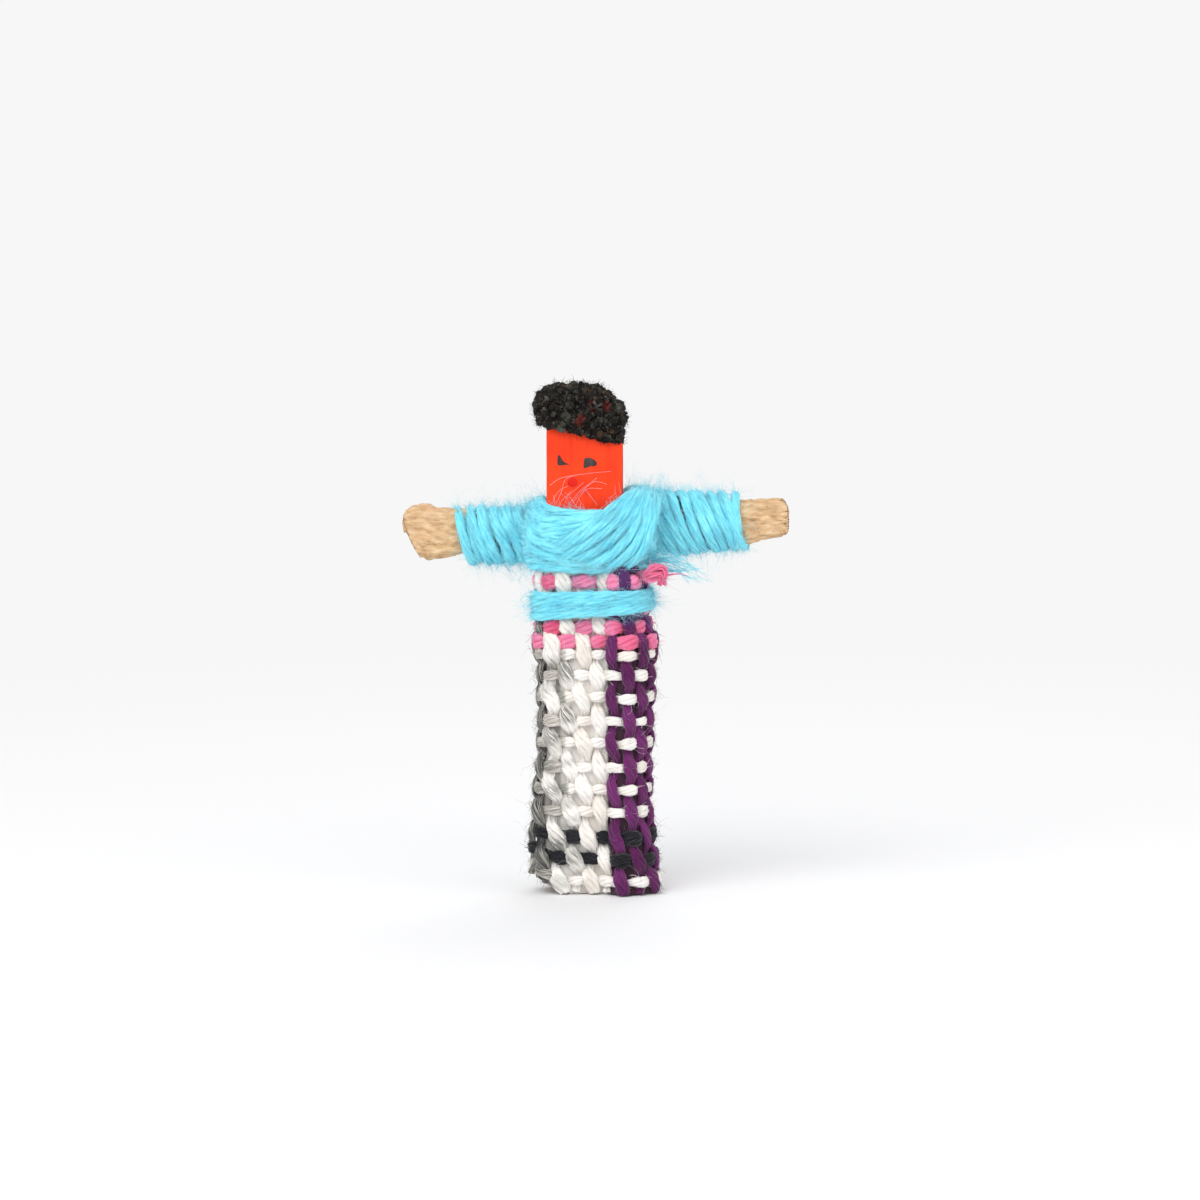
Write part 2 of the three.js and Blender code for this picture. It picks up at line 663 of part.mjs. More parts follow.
/** The tuft stands out from the cloth's right side, and swells before its end. */
function weftTuft() {
  const { right, squeeze } = SKIRT_STATIONS.at(-1);
  const clothSide = STICK_WIDTH / 2 + 2 * (CLOTH * squeeze + SEAT_GAP) + right;
  const root = new THREE.Vector3(
    clothSide + SEAT_GAP, -TUFT_FORWARD, SKIRT_LENGTH - TUFT_BELOW_TOP,
  );
  const bend = new THREE.QuadraticBezierCurve3(
    root,
    root.clone().add(new THREE.Vector3(TUFT_LENGTH / 2, 0, 0)),
    root.clone().add(new THREE.Vector3(TUFT_LENGTH, -TUFT_ROOT / 2, 0)),
  );
  const radiusAt = (share) =>
    THREE.MathUtils.lerp(TUFT_ROOT, TUFT_TIP, Math.sin(share * TUFT_SWELL)) / 2;
  return loft(tubeRings(bend.getPoints(TUFT_STEPS), TUFT_SIDES, radiusAt));
}

// The pieces

const armRings = armStickRings();
const clothRings = SKIRT_STATIONS.map(clothRing);
const armEdges = edgesOf(armRings);
const clothEdges = edgesOf(clothRings);
const yarnCoreRings = coreRings();
// The crossed strands pass over the cloth's top edge as if it stood half a yarn higher
const clothRim = clothRings.at(-1).map(({ x, y, z }) => new THREE.Vector3(x, y, z + YARN / 2));
const chestEdges = [yarnCoreRings, PAINT_RINGS, armRings, [...clothRings, clothRim]].flatMap(edgesOf);

const leftSleeve = winding(
  "left_sleeve_yarn",
  sleeveRoute({ side: -1, hand: LEFT_HAND_LENGTH, core: CORE_LEFT, edges: armEdges }),
);
const rightSleeve = winding(
  "right_sleeve_yarn",
  sleeveRoute({ side: 1, hand: RIGHT_HAND_LENGTH, core: CORE_RIGHT, edges: armEdges }),
);
const lowerTurn = lowerWrapRoute(clothEdges);
const lowerWrap = winding("chest_lower_wrap", lowerTurn, looseTail(lowerTurn));
const underWrap = winding(
  "chest_under_wrap",
  crossedRoute(-1, UNDER_WRAP_LOOPS, [...chestEdges, ...lowerWrap.edges]),
);
const overWrap = winding(
  "chest_over_wrap",
  crossedRoute(1, OVER_WRAP_LOOPS, [...chestEdges, ...lowerWrap.edges, ...underWrap.edges]),
);
const belt = winding("belt_yarn", beltRoute(clothEdges));

const sticks = new THREE.Group();
sticks.add(
  piece("body_stick", loft(BODY_STICK_RINGS), bareWood()),
  piece("arm_stick", loft(armRings), bareWood()),
);

const head = new THREE.Group();
const eyesZ = CROWN_Z - EYES_BELOW_CROWN;
head.add(
  piece("head_paint", paintCoat(), facePaint()),
  piece("left_eye", dab(leftEyeOutline(), LEFT_EYE_X, eyesZ), eyePaint()),
  piece("right_eye", dab(rightEyeOutline(), RIGHT_EYE_X, eyesZ), eyePaint()),
  piece("mouth", mouthDab(), mouthPaint()),
  piece("hair", hairCap(), hairCrumb()),
);

const blouse = new THREE.Group();
blouse.add(
  piece("chest_inner_yarn", yarnCore(yarnCoreRings), blueYarn()),
  ...[leftSleeve, rightSleeve, lowerWrap, underWrap, overWrap].map(({ mesh }) => mesh),
);

const skirt = new THREE.Group();
skirt.add(
  piece("skirt_cloth", loft(clothRings, stripCap(clothRings[0])), wovenCotton()),
  piece("weft_tuft", weftTuft(), pinkCotton()),
  belt.mesh,
);

const doll = new THREE.Group();
doll.add(sticks, head, blouse, skirt);
const box = new THREE.Box3().setFromObject(doll);
const middle = box.getCenter(new THREE.Vector3());
doll.position.set(-middle.x, -middle.y, -box.min.z);

export default doll;
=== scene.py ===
"""A worry doll: crossed wood splints, wound blue yarn and a rolled skirt of hand-woven cloth.

Sizes are in millimetres from the body stick's middle, at the level of the skirt's hem. The
function at() turns them into the model's own frame, in metres.
"""

import logging
import math
import random
from dataclasses import dataclass, field, replace
from enum import Enum
from typing import Any, Callable, Sequence, Union

import bmesh
import bpy
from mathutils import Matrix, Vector, noise


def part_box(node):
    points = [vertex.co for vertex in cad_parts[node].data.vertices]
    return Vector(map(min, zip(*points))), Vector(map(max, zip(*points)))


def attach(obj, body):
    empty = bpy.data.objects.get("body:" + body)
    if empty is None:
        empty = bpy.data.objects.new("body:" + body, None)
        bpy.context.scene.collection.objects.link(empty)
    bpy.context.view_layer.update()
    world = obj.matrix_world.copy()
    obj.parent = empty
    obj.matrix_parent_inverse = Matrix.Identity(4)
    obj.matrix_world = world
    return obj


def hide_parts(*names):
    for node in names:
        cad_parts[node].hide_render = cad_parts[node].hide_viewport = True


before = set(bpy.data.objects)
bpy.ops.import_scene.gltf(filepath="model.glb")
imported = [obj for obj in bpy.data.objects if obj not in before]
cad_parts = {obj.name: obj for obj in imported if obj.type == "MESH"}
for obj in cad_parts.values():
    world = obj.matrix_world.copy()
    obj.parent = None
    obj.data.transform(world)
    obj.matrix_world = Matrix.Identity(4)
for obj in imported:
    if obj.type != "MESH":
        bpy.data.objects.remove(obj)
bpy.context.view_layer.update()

LOG = logging.getLogger("worry_doll")
MM = 0.001
BODY = "root"
UP = Vector((0, 0, 1))
STICK_LOW, STICK_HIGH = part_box("body_stick")
STICK_MIDDLE = Vector(((STICK_LOW.x + STICK_HIGH.x) / 2, (STICK_LOW.y + STICK_HIGH.y) / 2, 0))

Triple = tuple[float, float, float]
Colour = tuple[float, float, float, float]
Table = tuple[tuple[float, float], ...]
Piece = bpy.types.Object
Material = bpy.types.Material
Node = bpy.types.Node
Socket = bpy.types.NodeSocket
# What a node's input takes: a node, one of its sockets, or a plain value.
Given = Union[Socket, Node, float, Sequence[float]]


class Dye(Enum):
    """The colours of the doll's fibres and paints."""

    WHITE = "fefbf6"
    PALE = "f6efe6"
    GREY = "8a8b80"
    SOOT = "2a2a30"
    BLACK = "17171d"
    PURPLE = "74286c"
    PLUM = "581650"
    INDIGO = "3b2c62"
    PINK = "f48cb4"
    ROSE = "e65c84"
    SKY_LIGHT = "9bf6ff"
    SKY_DEEP = "5acde8"

    def linear(self, light: float = 1.0) -> Colour:
        """The colour as linear numbers, made lighter or darker by a factor."""
        return linear(self.value, light)

    def towards(self, other: "Dye", share: float) -> Colour:
        """The colour that lies that share of the way to another."""
        return blend_colours(self.linear(), other.linear(), share)


def linear(code: str, light: float = 1.0) -> Colour:
    """Turns a colour code into linear numbers.

    Args:
        code: six hexadecimal digits, as red, green and blue.
        light: a factor on the linear colour.

    Returns:
        Red, green, blue and an alpha of 1.
    """
    shares = [int(code[i:i + 2], 16) / 255 for i in (0, 2, 4)]
    bent = [s / 12.92 if s <= 0.04045 else ((s + 0.055) / 1.055) ** 2.4 for s in shares]
    return (*[min(light * b, 1.0) for b in bent], 1.0)


def blend_colours(a: Colour, b: Colour, share: float) -> Colour:
    """The colour that lies that share of the way from a to b."""
    return tuple(lerp(x, y, share) for x, y in zip(a, b))


def at(x: float, y: float, z: float) -> Vector:
    """A place in millimetres from the stick's middle, in the model's metres."""
    return Vector((x, y, z)) * MM + STICK_MIDDLE


def lerp(a: float | Vector, b: float | Vector, share: float) -> float | Vector:
    """The number or vector that lies that share of the way from a to b."""
    return a + (b - a) * share


def smooth(share: float) -> float:
    """Eases a share between 0 and 1."""
    share = min(max(share, 0.0), 1.0)
    return share * share * (3 - 2 * share)


def boxy(value: float, power: float) -> float:
    """Raises the size of a value to a power and keeps its sign."""
    return math.copysign(abs(value) ** power, value)


def along_table(rows: Sequence[tuple[float, float]], place: float) -> float:
    """Reads a table of pairs, with straight lines between them and level ends.

    Args:
        rows: the pairs, in rising order.
        place: where to read.

    Returns:
        The value there.
    """
    if place <= rows[0][0]:
        return rows[0][1]
    for (a, low), (b, high) in zip(rows, rows[1:]):
        if place <= b:
            return lerp(low, high, (place - a) / (b - a))
    return rows[-1][1]


def grain(x: float, y: float, z: float, seed: float = 0.0) -> float:
    """A smooth random number between about -1 and 1 for a place."""
    return noise.noise(Vector((x + 17.3 * seed, y - 9.1 * seed, z + 5.7 * seed)))


class Graph:
    """Adds nodes to a tree and links them."""

    def __init__(self, tree: bpy.types.NodeTree) -> None:
        """Keeps the tree."""
        self.tree = tree

    def add(self, kind: str, inputs: dict | None = None, **settings: Any) -> Node:
        """Adds one node.

        Args:
            kind: the node's type.
            inputs: a value, socket or node for each input, by its name or place.
            settings: the node's own properties.

        Returns:
            The new node.
        """
        node = self.tree.nodes.new(kind)
        for key, value in settings.items():
            setattr(node, key, value)
        for key, value in (inputs or {}).items():
            if isinstance(value, Node):
                value = value.outputs[0]
            if isinstance(value, Socket):
                self.tree.links.new(value, node.inputs[key])
            else:
                node.inputs[key].default_value = value
        return node

    def math(self, operation: str, *values: Given) -> Socket:
        """A Math node's result for these values."""
        node = self.add("ShaderNodeMath", dict(enumerate(values)), operation=operation)
        return node.outputs[0]

    def vector(self, operation: str, *values: Given) -> Socket:
        """A Vector Math node's result for these values.

        Args:
            operation: what it does.
            values: its inputs, of which SCALE takes a vector and a factor.

        Returns:
            The result's socket.
        """
        places = dict(enumerate(values))
        if operation == "SCALE":
            places = {0: values[0], 3: values[1]}
        return self.add("ShaderNodeVectorMath", places, operation=operation).outputs[0]

    def noise(self, place: Given, scale: float, detail: float = 2.0) -> Node:
        """A noise texture at a place."""
        return self.add("ShaderNodeTexNoise", {"Vector": place, "Scale": scale, "Detail": detail})

    def span(
        self, value: Given, start: float, end: float, low: float = 0.0, high: float = 1.0
    ) -> Socket:
        """A Map Range node's result, from low at the start to high at the end."""
        inputs = dict(enumerate((value, start, end, low, high)))
        return self.add("ShaderNodeMapRange", inputs).outputs[0]

    def ramp(
        self, share: Given, stops: Sequence[tuple[float, Colour]], step: bool = False
    ) -> Socket:
        """A colour ramp.

        Args:
            share: the socket that it reads.
            stops: each stop's place and colour.
            step: whether it changes in steps, with no blending.

        Returns:
            The ramp's colour socket.
        """
        node = self.add("ShaderNodeValToRGB", {0: share})
        ramp = node.color_ramp
        ramp.interpolation = "CONSTANT" if step else "LINEAR"
        while len(ramp.elements) < len(stops):
            ramp.elements.new(1.0)
        for element, (place, colour) in zip(ramp.elements, stops):
            element.position = place
            element.color = colour
        return node.outputs[0]

    def mix(self, share: Given, a: Given, b: Given, blend: str = "MIX") -> Socket:
        """A Mix node's colour.

        Args:
            share: how much of b there is.
            a: the first colour.
            b: the second colour.
            blend: how b is laid on a.

        Returns:
            The colour's socket.
        """
        node = self.add("ShaderNodeMix", data_type="RGBA", blend_type=blend)
        for place, value in ((0, share), (6, a), (7, b)):
            if isinstance(value, Socket):
                self.tree.links.new(value, node.inputs[place])
            else:
                node.inputs[place].default_value = value
        return node.outputs[2]


class Finish:
    """A material of one principled shader, whose colour and relief come from nodes."""

    def __init__(self, name: str, roughness: float, sheen: float = 0.0, gloss: float = 0.5) -> None:
        """Makes the material and its shader.

        Args:
            name: the material's name.
            roughness: how dull it is.
            sheen: how downy it is.
            gloss: how much it mirrors.
        """
        self.material = bpy.data.materials.new(name)
        self.material.use_nodes = True
        self.graph = Graph(self.material.node_tree)
        self.shader = self.material.node_tree.nodes["Principled BSDF"]
        for key, value in (
            ("Roughness", roughness), ("Sheen Weight", sheen), ("Sheen Roughness", 0.5),
            ("Specular IOR Level", gloss),
        ):
            self.shader.inputs[key].default_value = value

    def place(self, scale: Triple = (1 / MM, 1 / MM, 1 / MM)) -> Socket:
        """The object's own coordinates, in millimetres unless scaled otherwise.

        Args:
            scale: a factor on metres for each axis.

        Returns:
            The coordinates' socket.
        """
        texture = self.graph.add("ShaderNodeTexCoord")
        return self.graph.add(
            "ShaderNodeMapping", {"Vector": texture.outputs["Object"], "Scale": scale}
        ).outputs[0]

    def attribute(self, name: str, output: str = "Fac") -> Socket:
        """One of the piece's own attributes."""
        return self.graph.add("ShaderNodeAttribute", attribute_name=name).outputs[output]

    def colour(self, socket: Socket) -> None:
        """Links the base colour."""
        self.graph.tree.links.new(socket, self.shader.inputs["Base Color"])

    def relief(self, height: Socket, strength: float, depth: float) -> None:
        """Adds a bump.

        Args:
            height: the socket that it reads.
            strength: its share.
            depth: its depth in millimetres.
        """
        bump = self.graph.add(
            "ShaderNodeBump", {"Strength": strength, "Distance": depth * MM, "Height": height}
        )
        self.graph.tree.links.new(bump.outputs[0], self.shader.inputs["Normal"])


@dataclass(frozen=True)
class YarnFinish:
    """Soft spun fibre that is streaked along the strand.

    Without a dye of its own it takes each strand's colour from the attribute called dye, which on the
    skirt's shade sheet and at the tuft's roots also holds painted shade, and mixes black and pale fibres in
    by the attribute called marl.
    """

    name: str
    light: Dye | None = None
    dark: Dye | None = None
    roughness: float = 0.92
    sheen: float = 0.2
    depth: float = 0.03
    lane_scale: float = 2.6
    along_scale: float = 1.1
    ply_shift: float = 4.3
    streak_scale: float = 1.8
    patch_scale: float = 0.9

    def make(self) -> Material:
        """Builds the material.

        Returns:
            The material.
        """
        finish = Finish(self.name, self.roughness, self.sheen, gloss=0.2)
        graph = finish.graph
        lane = graph.vector("SCALE", finish.attribute("lane", "Vector"), self.lane_scale)
        along = graph.math("MULTIPLY", finish.attribute("along"), self.along_scale)
        ply = graph.math("MULTIPLY", finish.attribute("ply"), self.ply_shift)
        run = graph.add("ShaderNodeCombineXYZ", {0: ply, 2: along}).outputs[0]
        fibre_place = graph.vector("ADD", lane, run)
        streak = graph.noise(fibre_place, self.streak_scale, 3.0).outputs["Fac"]
        patch = graph.noise(finish.place(), self.patch_scale, 2.0).outputs["Fac"]
        share = graph.math("ADD", graph.math("MULTIPLY", streak, 0.7), graph.math("MULTIPLY", patch, 0.3))
        if self.light:
            colour = graph.ramp(share, [(0.34, self.dark.linear()), (0.62, self.light.linear())])
        else:
            shade = graph.ramp(share, [(0.3, (0.66, 0.64, 0.63, 1)), (0.54, (1, 1, 1, 1))])
            colour = graph.mix(1.0, finish.attribute("dye", "Color"), shade, "MULTIPLY")
            speck = graph.noise(fibre_place, 1.1, 2.0).outputs["Fac"]
            marl = graph.ramp(speck, [
                (0.43, Dye.SOOT.linear()), (0.52, Dye.GREY.linear()), (0.62, Dye.PALE.linear()),
            ])
            colour = graph.mix(finish.attribute("marl"), colour, marl)
        pale = graph.math("MULTIPLY", finish.attribute("stray"), 0.3)
        finish.colour(graph.mix(pale, colour, (1, 1, 1, 1)))
        finish.relief(streak, 0.6, self.depth)
        return finish.material


@dataclass(frozen=True)
class PaintFinish:
    """Acrylic paint over wood, with the grain faintly showing."""

    name: str
    base: str
    worn: str
    roughness: float = 0.5
    brush_scale: Triple = (5200, 5200, 420)

    def make(self) -> Material:
        """Builds the material.

        Returns:
            The material.
        """
        finish = Finish(self.name, self.roughness, gloss=0.25)
        graph = finish.graph
        cloud = graph.noise(finish.place(), 0.8, 3.0).outputs["Fac"]
        lines = graph.noise(finish.place(self.brush_scale), 1.0, 4.0).outputs["Fac"]
        share = graph.math("ADD", graph.math("MULTIPLY", cloud, 0.55), graph.math("MULTIPLY", lines, 0.45))
        finish.colour(graph.ramp(share, [(0.36, linear(self.worn)), (0.6, linear(self.base))]))
        rough = graph.math("MULTIPLY_ADD", cloud, 0.25, self.roughness - 0.1)
        graph.tree.links.new(rough, finish.shader.inputs["Roughness"])
        finish.relief(lines, 0.4, 0.03)
        return finish.material


@dataclass(frozen=True)
class WoodFinish:
    """Coarse split wood with short dark streaks, which run along x or along z."""

    name: str
    upright: bool = False
    long_scale: float = 1500
    fine_scale: float = 5200

    def make(self) -> Material:
        """Builds the material.

        Returns:
            The material.
        """
        finish = Finish(self.name, 0.9, gloss=0.2)
        graph = finish.graph
        long, fine = self.long_scale, self.fine_scale
        scale = (fine, fine, long) if self.upright else (long, fine, fine)
        streak = graph.noise(finish.place(scale), 1.0, 5.0).outputs["Fac"]
        pits = graph.noise(finish.place(tuple(2.2 * s for s in scale)), 1.0, 3.0).outputs["Fac"]
        cloud = graph.noise(finish.place(), 0.55, 2.0).outputs["Fac"]
        wood = graph.ramp(streak, [
            (0.28, linear("ab8660")), (0.42, linear("c6a478")),
            (0.56, linear("dabb8f")), (0.72, linear("e8d2ae")),
        ])
        rosy = graph.mix(graph.math("MULTIPLY", cloud, 0.45), wood, linear("dbac90"))
        marks = graph.ramp(pits, [(0.26, linear("80583a")), (0.36, (1, 1, 1, 1))])
        finish.colour(graph.mix(0.68, rosy, marks, "MULTIPLY"))
        finish.relief(streak, 0.8, 0.08)
        return finish.material


@dataclass(frozen=True)
class CrumbFinish:
    """Crumbled black wool with grey, brown and dark red flecks, by the attribute called tint.

    Each red patch is a place across and up in the model's millimetres, with its radius.
    """

    name: str
    red_patches: tuple[Triple, ...] = (
        (-0.88, 24.62, 0.34), (-0.31, 25.55, 0.2), (0.52, 25.4, 0.26),
    )
    red_share: float = 0.75
    dust_share: float = 0.6

    def make(self) -> Material:
        """Builds the material.

        Returns:
            The material.
        """
        finish = Finish(self.name, 0.9, gloss=0.15)
        graph = finish.graph
        flecks = graph.ramp(finish.attribute("tint"), [
            (0.0, linear("181412")), (0.3, linear("24201c")), (0.58, linear("312e28")),
            (0.74, linear("3e3d36")), (0.88, linear("463526")), (0.93, linear("565650")),
            (0.98, linear("74736e")), (0.99, linear("4d1611")),
        ], step=True)
        place = finish.place()
        ragged = graph.vector("SUBTRACT", graph.noise(place, 2.6).outputs["Color"], (0.5, 0.5, 0.5))
        ragged = graph.vector("ADD", place, graph.vector("SCALE", ragged, 0.7))
        for x, z, radius in self.red_patches:
            flat = graph.vector("MULTIPLY", ragged, (1, 0, 1))
            length = graph.vector("DISTANCE", flat, (x, 0, z)).node.outputs["Value"]
            share = graph.span(length, radius, radius * 0.5, 0.0, self.red_share)
            flecks = graph.mix(share, flecks, linear("64170f"))
        dust = graph.noise(place, 8.0, 2.0).outputs["Fac"]
        dust = graph.span(dust, 0.56, 0.7, 0.0, self.dust_share)
        flecks = graph.mix(dust, flecks, linear("6e6d68"))
        cloud = graph.noise(place, 5.0, 4.0).outputs["Fac"]
        shade = graph.ramp(cloud, [(0.3, (0.5, 0.5, 0.5, 1)), (0.65, (1, 1, 1, 1))])
        finish.colour(graph.mix(1.0, flecks, shade, "MULTIPLY"))
        finish.relief(cloud, 0.9, 0.05)
        return finish.material


SHADOW = (0.03, 0.02, 0.02, 1)
STRIPE_REPEAT = 24
FIBRE_SIZES = ("Density", "Length", "Radius", "Lift", "Wild", "Curl")


class GeometryTree(Graph):
    """A geometry node tree with named inputs, applied to a mesh and turned into a plain mesh."""

    def __init__(self, name: str, sizes: dict[str, str]) -> None:
        """Makes the tree with an input for each size.

        Args:
            name: its name.
            sizes: the kind of each input, such as Float.
        """
        super().__init__(bpy.data.node_groups.new(name, "GeometryNodeTree"))
        face = self.tree.interface
        face.new_socket("Geometry", in_out="INPUT", socket_type="NodeSocketGeometry")
        for size, kind in sizes.items():
            face.new_socket(size, in_out="INPUT", socket_type=f"NodeSocket{kind}")
        face.new_socket("Geometry", in_out="OUTPUT", socket_type="NodeSocketGeometry")
        self.given = self.add("NodeGroupInput").outputs

    def store(self, geometry: Given, name: str, value: Given, kind: str = "FLOAT") -> Socket:
        """Stores a named attribute on the points.

        Args:
            geometry: what it is stored on.
            name: its name.
            value: its value.
            kind: its data type.

        Returns:
            The geometry with it.
        """
        return self.add(
            "GeometryNodeStoreNamedAttribute", {0: geometry, 2: name, 3: value},
            data_type=kind, domain="POINT",
        ).outputs[0]

    def named(self, name: str, kind: str = "FLOAT") -> Socket:
        """Reads a named attribute."""
        return self.add("GeometryNodeInputNamedAttribute", {0: name}, data_type=kind).outputs[0]

    def position(self) -> Socket:
        """Where each point lies, in metres."""
        return self.add("GeometryNodeInputPosition").outputs[0]

    def clouds(self, scale: float, detail: float) -> Node:
        """A noise that reads each point's place in millimetres."""
        return self.noise(self.vector("SCALE", self.position(), 1 / MM), scale, detail)

    def sway(self, scale: float, detail: float) -> Socket:
        """A smooth random push of each point, evenly to all sides."""
        return self.vector("SUBTRACT", self.clouds(scale, detail).outputs["Color"], (0.5, 0.5, 0.5))

    def moved(self, geometry: Given, offset: Given) -> Socket:
        """The geometry with its points moved by an offset."""
        return self.add("GeometryNodeSetPosition", {0: geometry, 3: offset}).outputs[0]

    def copies(self, points: Given, shape: Given, turned: Given, size: Given) -> Socket:
        """A real copy of a shape at each point, turned and scaled."""
        placed = self.add("GeometryNodeInstanceOnPoints", {0: points, 2: shape, 5: turned, 6: size})
        return self.add("GeometryNodeRealizeInstances", {0: placed}).outputs[0]

    def random(self, low: Given, high: Given, salt: int, kind: str = "FLOAT") -> Socket:
        """A random value for each element.

        Args:
            low: the least.
            high: the most.
            salt: what is added to the tree's seed.
            kind: its data type.

        Returns:
            The value's socket.
        """
        first = 0 if kind == "FLOAT_VECTOR" else 2
        seed = self.math("ADD", self.given["Seed"], salt)
        node = self.add(
            "FunctionNodeRandomValue", {first: low, first + 1: high, 8: seed}, data_type=kind
        )
        return node.outputs[0 if kind == "FLOAT_VECTOR" else 1]

    def tube(self, curve: Given, radius: Given, sides: Given, capped: bool = True) -> Socket:
        """A tube along a curve, which keeps its place round the strand as the attribute lane.

        Args:
            curve: its middle line.
            radius: its radius.
            sides: how many sides it has.
            capped: whether its ends are filled.

        Returns:
            The tube's mesh.
        """
        ring = self.add("GeometryNodeCurvePrimitiveCircle", {0: sides, 4: 1.0}).outputs[0]
        ring = self.store(ring, "lane", self.position(), "FLOAT_VECTOR")
        return self.add("GeometryNodeCurveToMesh", {0: curve, 1: ring, 2: radius, 3: capped}).outputs[0]

    def fibres(
        self, surface: Socket, kind: str, joints: int, stray: float, with_run: bool = True
    ) -> Socket:
        """Fine fibres that start on a surface.

        Args:
            surface: the mesh.
            kind: Nap for those that lie along the yarn, or Stray for those that leave it.
            joints: how many points each has.
            stray: how pale they are, from 0 to 1.
            with_run: whether the surface is yarn, so that they keep to its outer side and
                lie along its attribute run, one way or the other.

        Returns:
            Their geometry.
        """
        given = {size: self.given[f"{kind} {size}"] for size in FIBRE_SIZES}
        places = {0: surface, 4: given["Density"], 6: self.given["Seed"]}
        if with_run:
            normal = self.add("GeometryNodeInputNormal").outputs[0]
            facing = self.vector("DOT_PRODUCT", normal, self.named("facing", "FLOAT_VECTOR"))
            places[1] = self.math("GREATER_THAN", facing.node.outputs["Value"], -0.1)
        spread = self.add(
            "GeometryNodeDistributePointsOnFaces", places, distribute_method="RANDOM")
        wild = self.random((-1, -1, -1), (1, 1, 1), 1, "FLOAT_VECTOR")
        wild = self.vector("SCALE", wild, given["Wild"])
        lifted = self.vector("SCALE", spread.outputs[1], given["Lift"])
        way = self.vector("ADD", wild, lifted)
        if with_run:
            side = self.math("GREATER_THAN", self.random(0.0, 1.0, 2), 0.5)
            side = self.math("MULTIPLY_ADD", side, 2.0, -1.0)
            way = self.vector("ADD", way, self.vector("SCALE", self.named("run", "FLOAT_VECTOR"), side))
        turned = self.add("FunctionNodeAlignRotationToVector", {2: way}, axis="Z").outputs[0]
        share = self.math("MULTIPLY_ADD", self.math("POWER", self.random(0.0, 1.0, 3), 2.0), 0.75, 0.25)
        line = self.add("GeometryNodeCurvePrimitiveLine", {0: (0, 0, 0), 1: (0, 0, 1)}).outputs[0]
        size = self.math("MULTIPLY", share, given["Length"])
        real = self.copies(spread.outputs[0], line, turned, size)
        jointed = self.add("GeometryNodeResampleCurve", {0: real, 2: joints}).outputs[0]
        factor = self.add("GeometryNodeSplineParameter").outputs["Factor"]
        reach = self.math("MULTIPLY", factor, given["Curl"])
        bent = self.moved(jointed, self.vector("SCALE", self.sway(1.1, 2.0), reach))
        thin = self.math("MULTIPLY", given["Radius"], self.math("MULTIPLY_ADD", factor, -0.5, 1.0))
        hair = self.tube(bent, thin, 3, capped=False)
        return self.store(hair, "stray", stray)

    def end(self, *parts: Socket) -> None:
        """Joins the parts, realizes them, sets the material and links the output.

        Args:
            parts: each part's geometry.
        """
        joined = self.add("GeometryNodeJoinGeometry")
        for part in parts:
            self.tree.links.new(part, joined.inputs[0])
        real = self.add("GeometryNodeRealizeInstances", {0: joined})
        shaded = self.add("GeometryNodeSetShadeSmooth", {0: real, 2: True})
        finished = self.add("GeometryNodeSetMaterial", {0: shaded, 2: self.given["Material"]})
        self.add("NodeGroupOutput", {0: finished})

    def grow(self, piece: Piece, material: Material, **sizes: Any) -> None:
        """Runs the tree on a piece and keeps the result as its plain mesh.

        Args:
            piece: the object whose mesh the tree starts from, and whose mesh it then becomes.
            material: the finish.
            sizes: a value for each input, with _ for a space in its name.
        """
        modifier = piece.modifiers.new("grow", "NODES")
        modifier.node_group = self.tree
        values = {key.replace("_", " "): value for key, value in sizes.items()}
        values["Material"] = material
        for item in self.tree.interface.items_tree:
            if item.in_out == "INPUT" and item.name in values:
                modifier[item.identifier] = values[item.name]
        bpy.context.view_layer.update()
        evaluated = piece.evaluated_get(bpy.context.evaluated_depsgraph_get())
        grown = bpy.data.meshes.new_from_object(evaluated)
        piece.modifiers.remove(modifier)
        piece.data = grown
        grown.name = piece.name


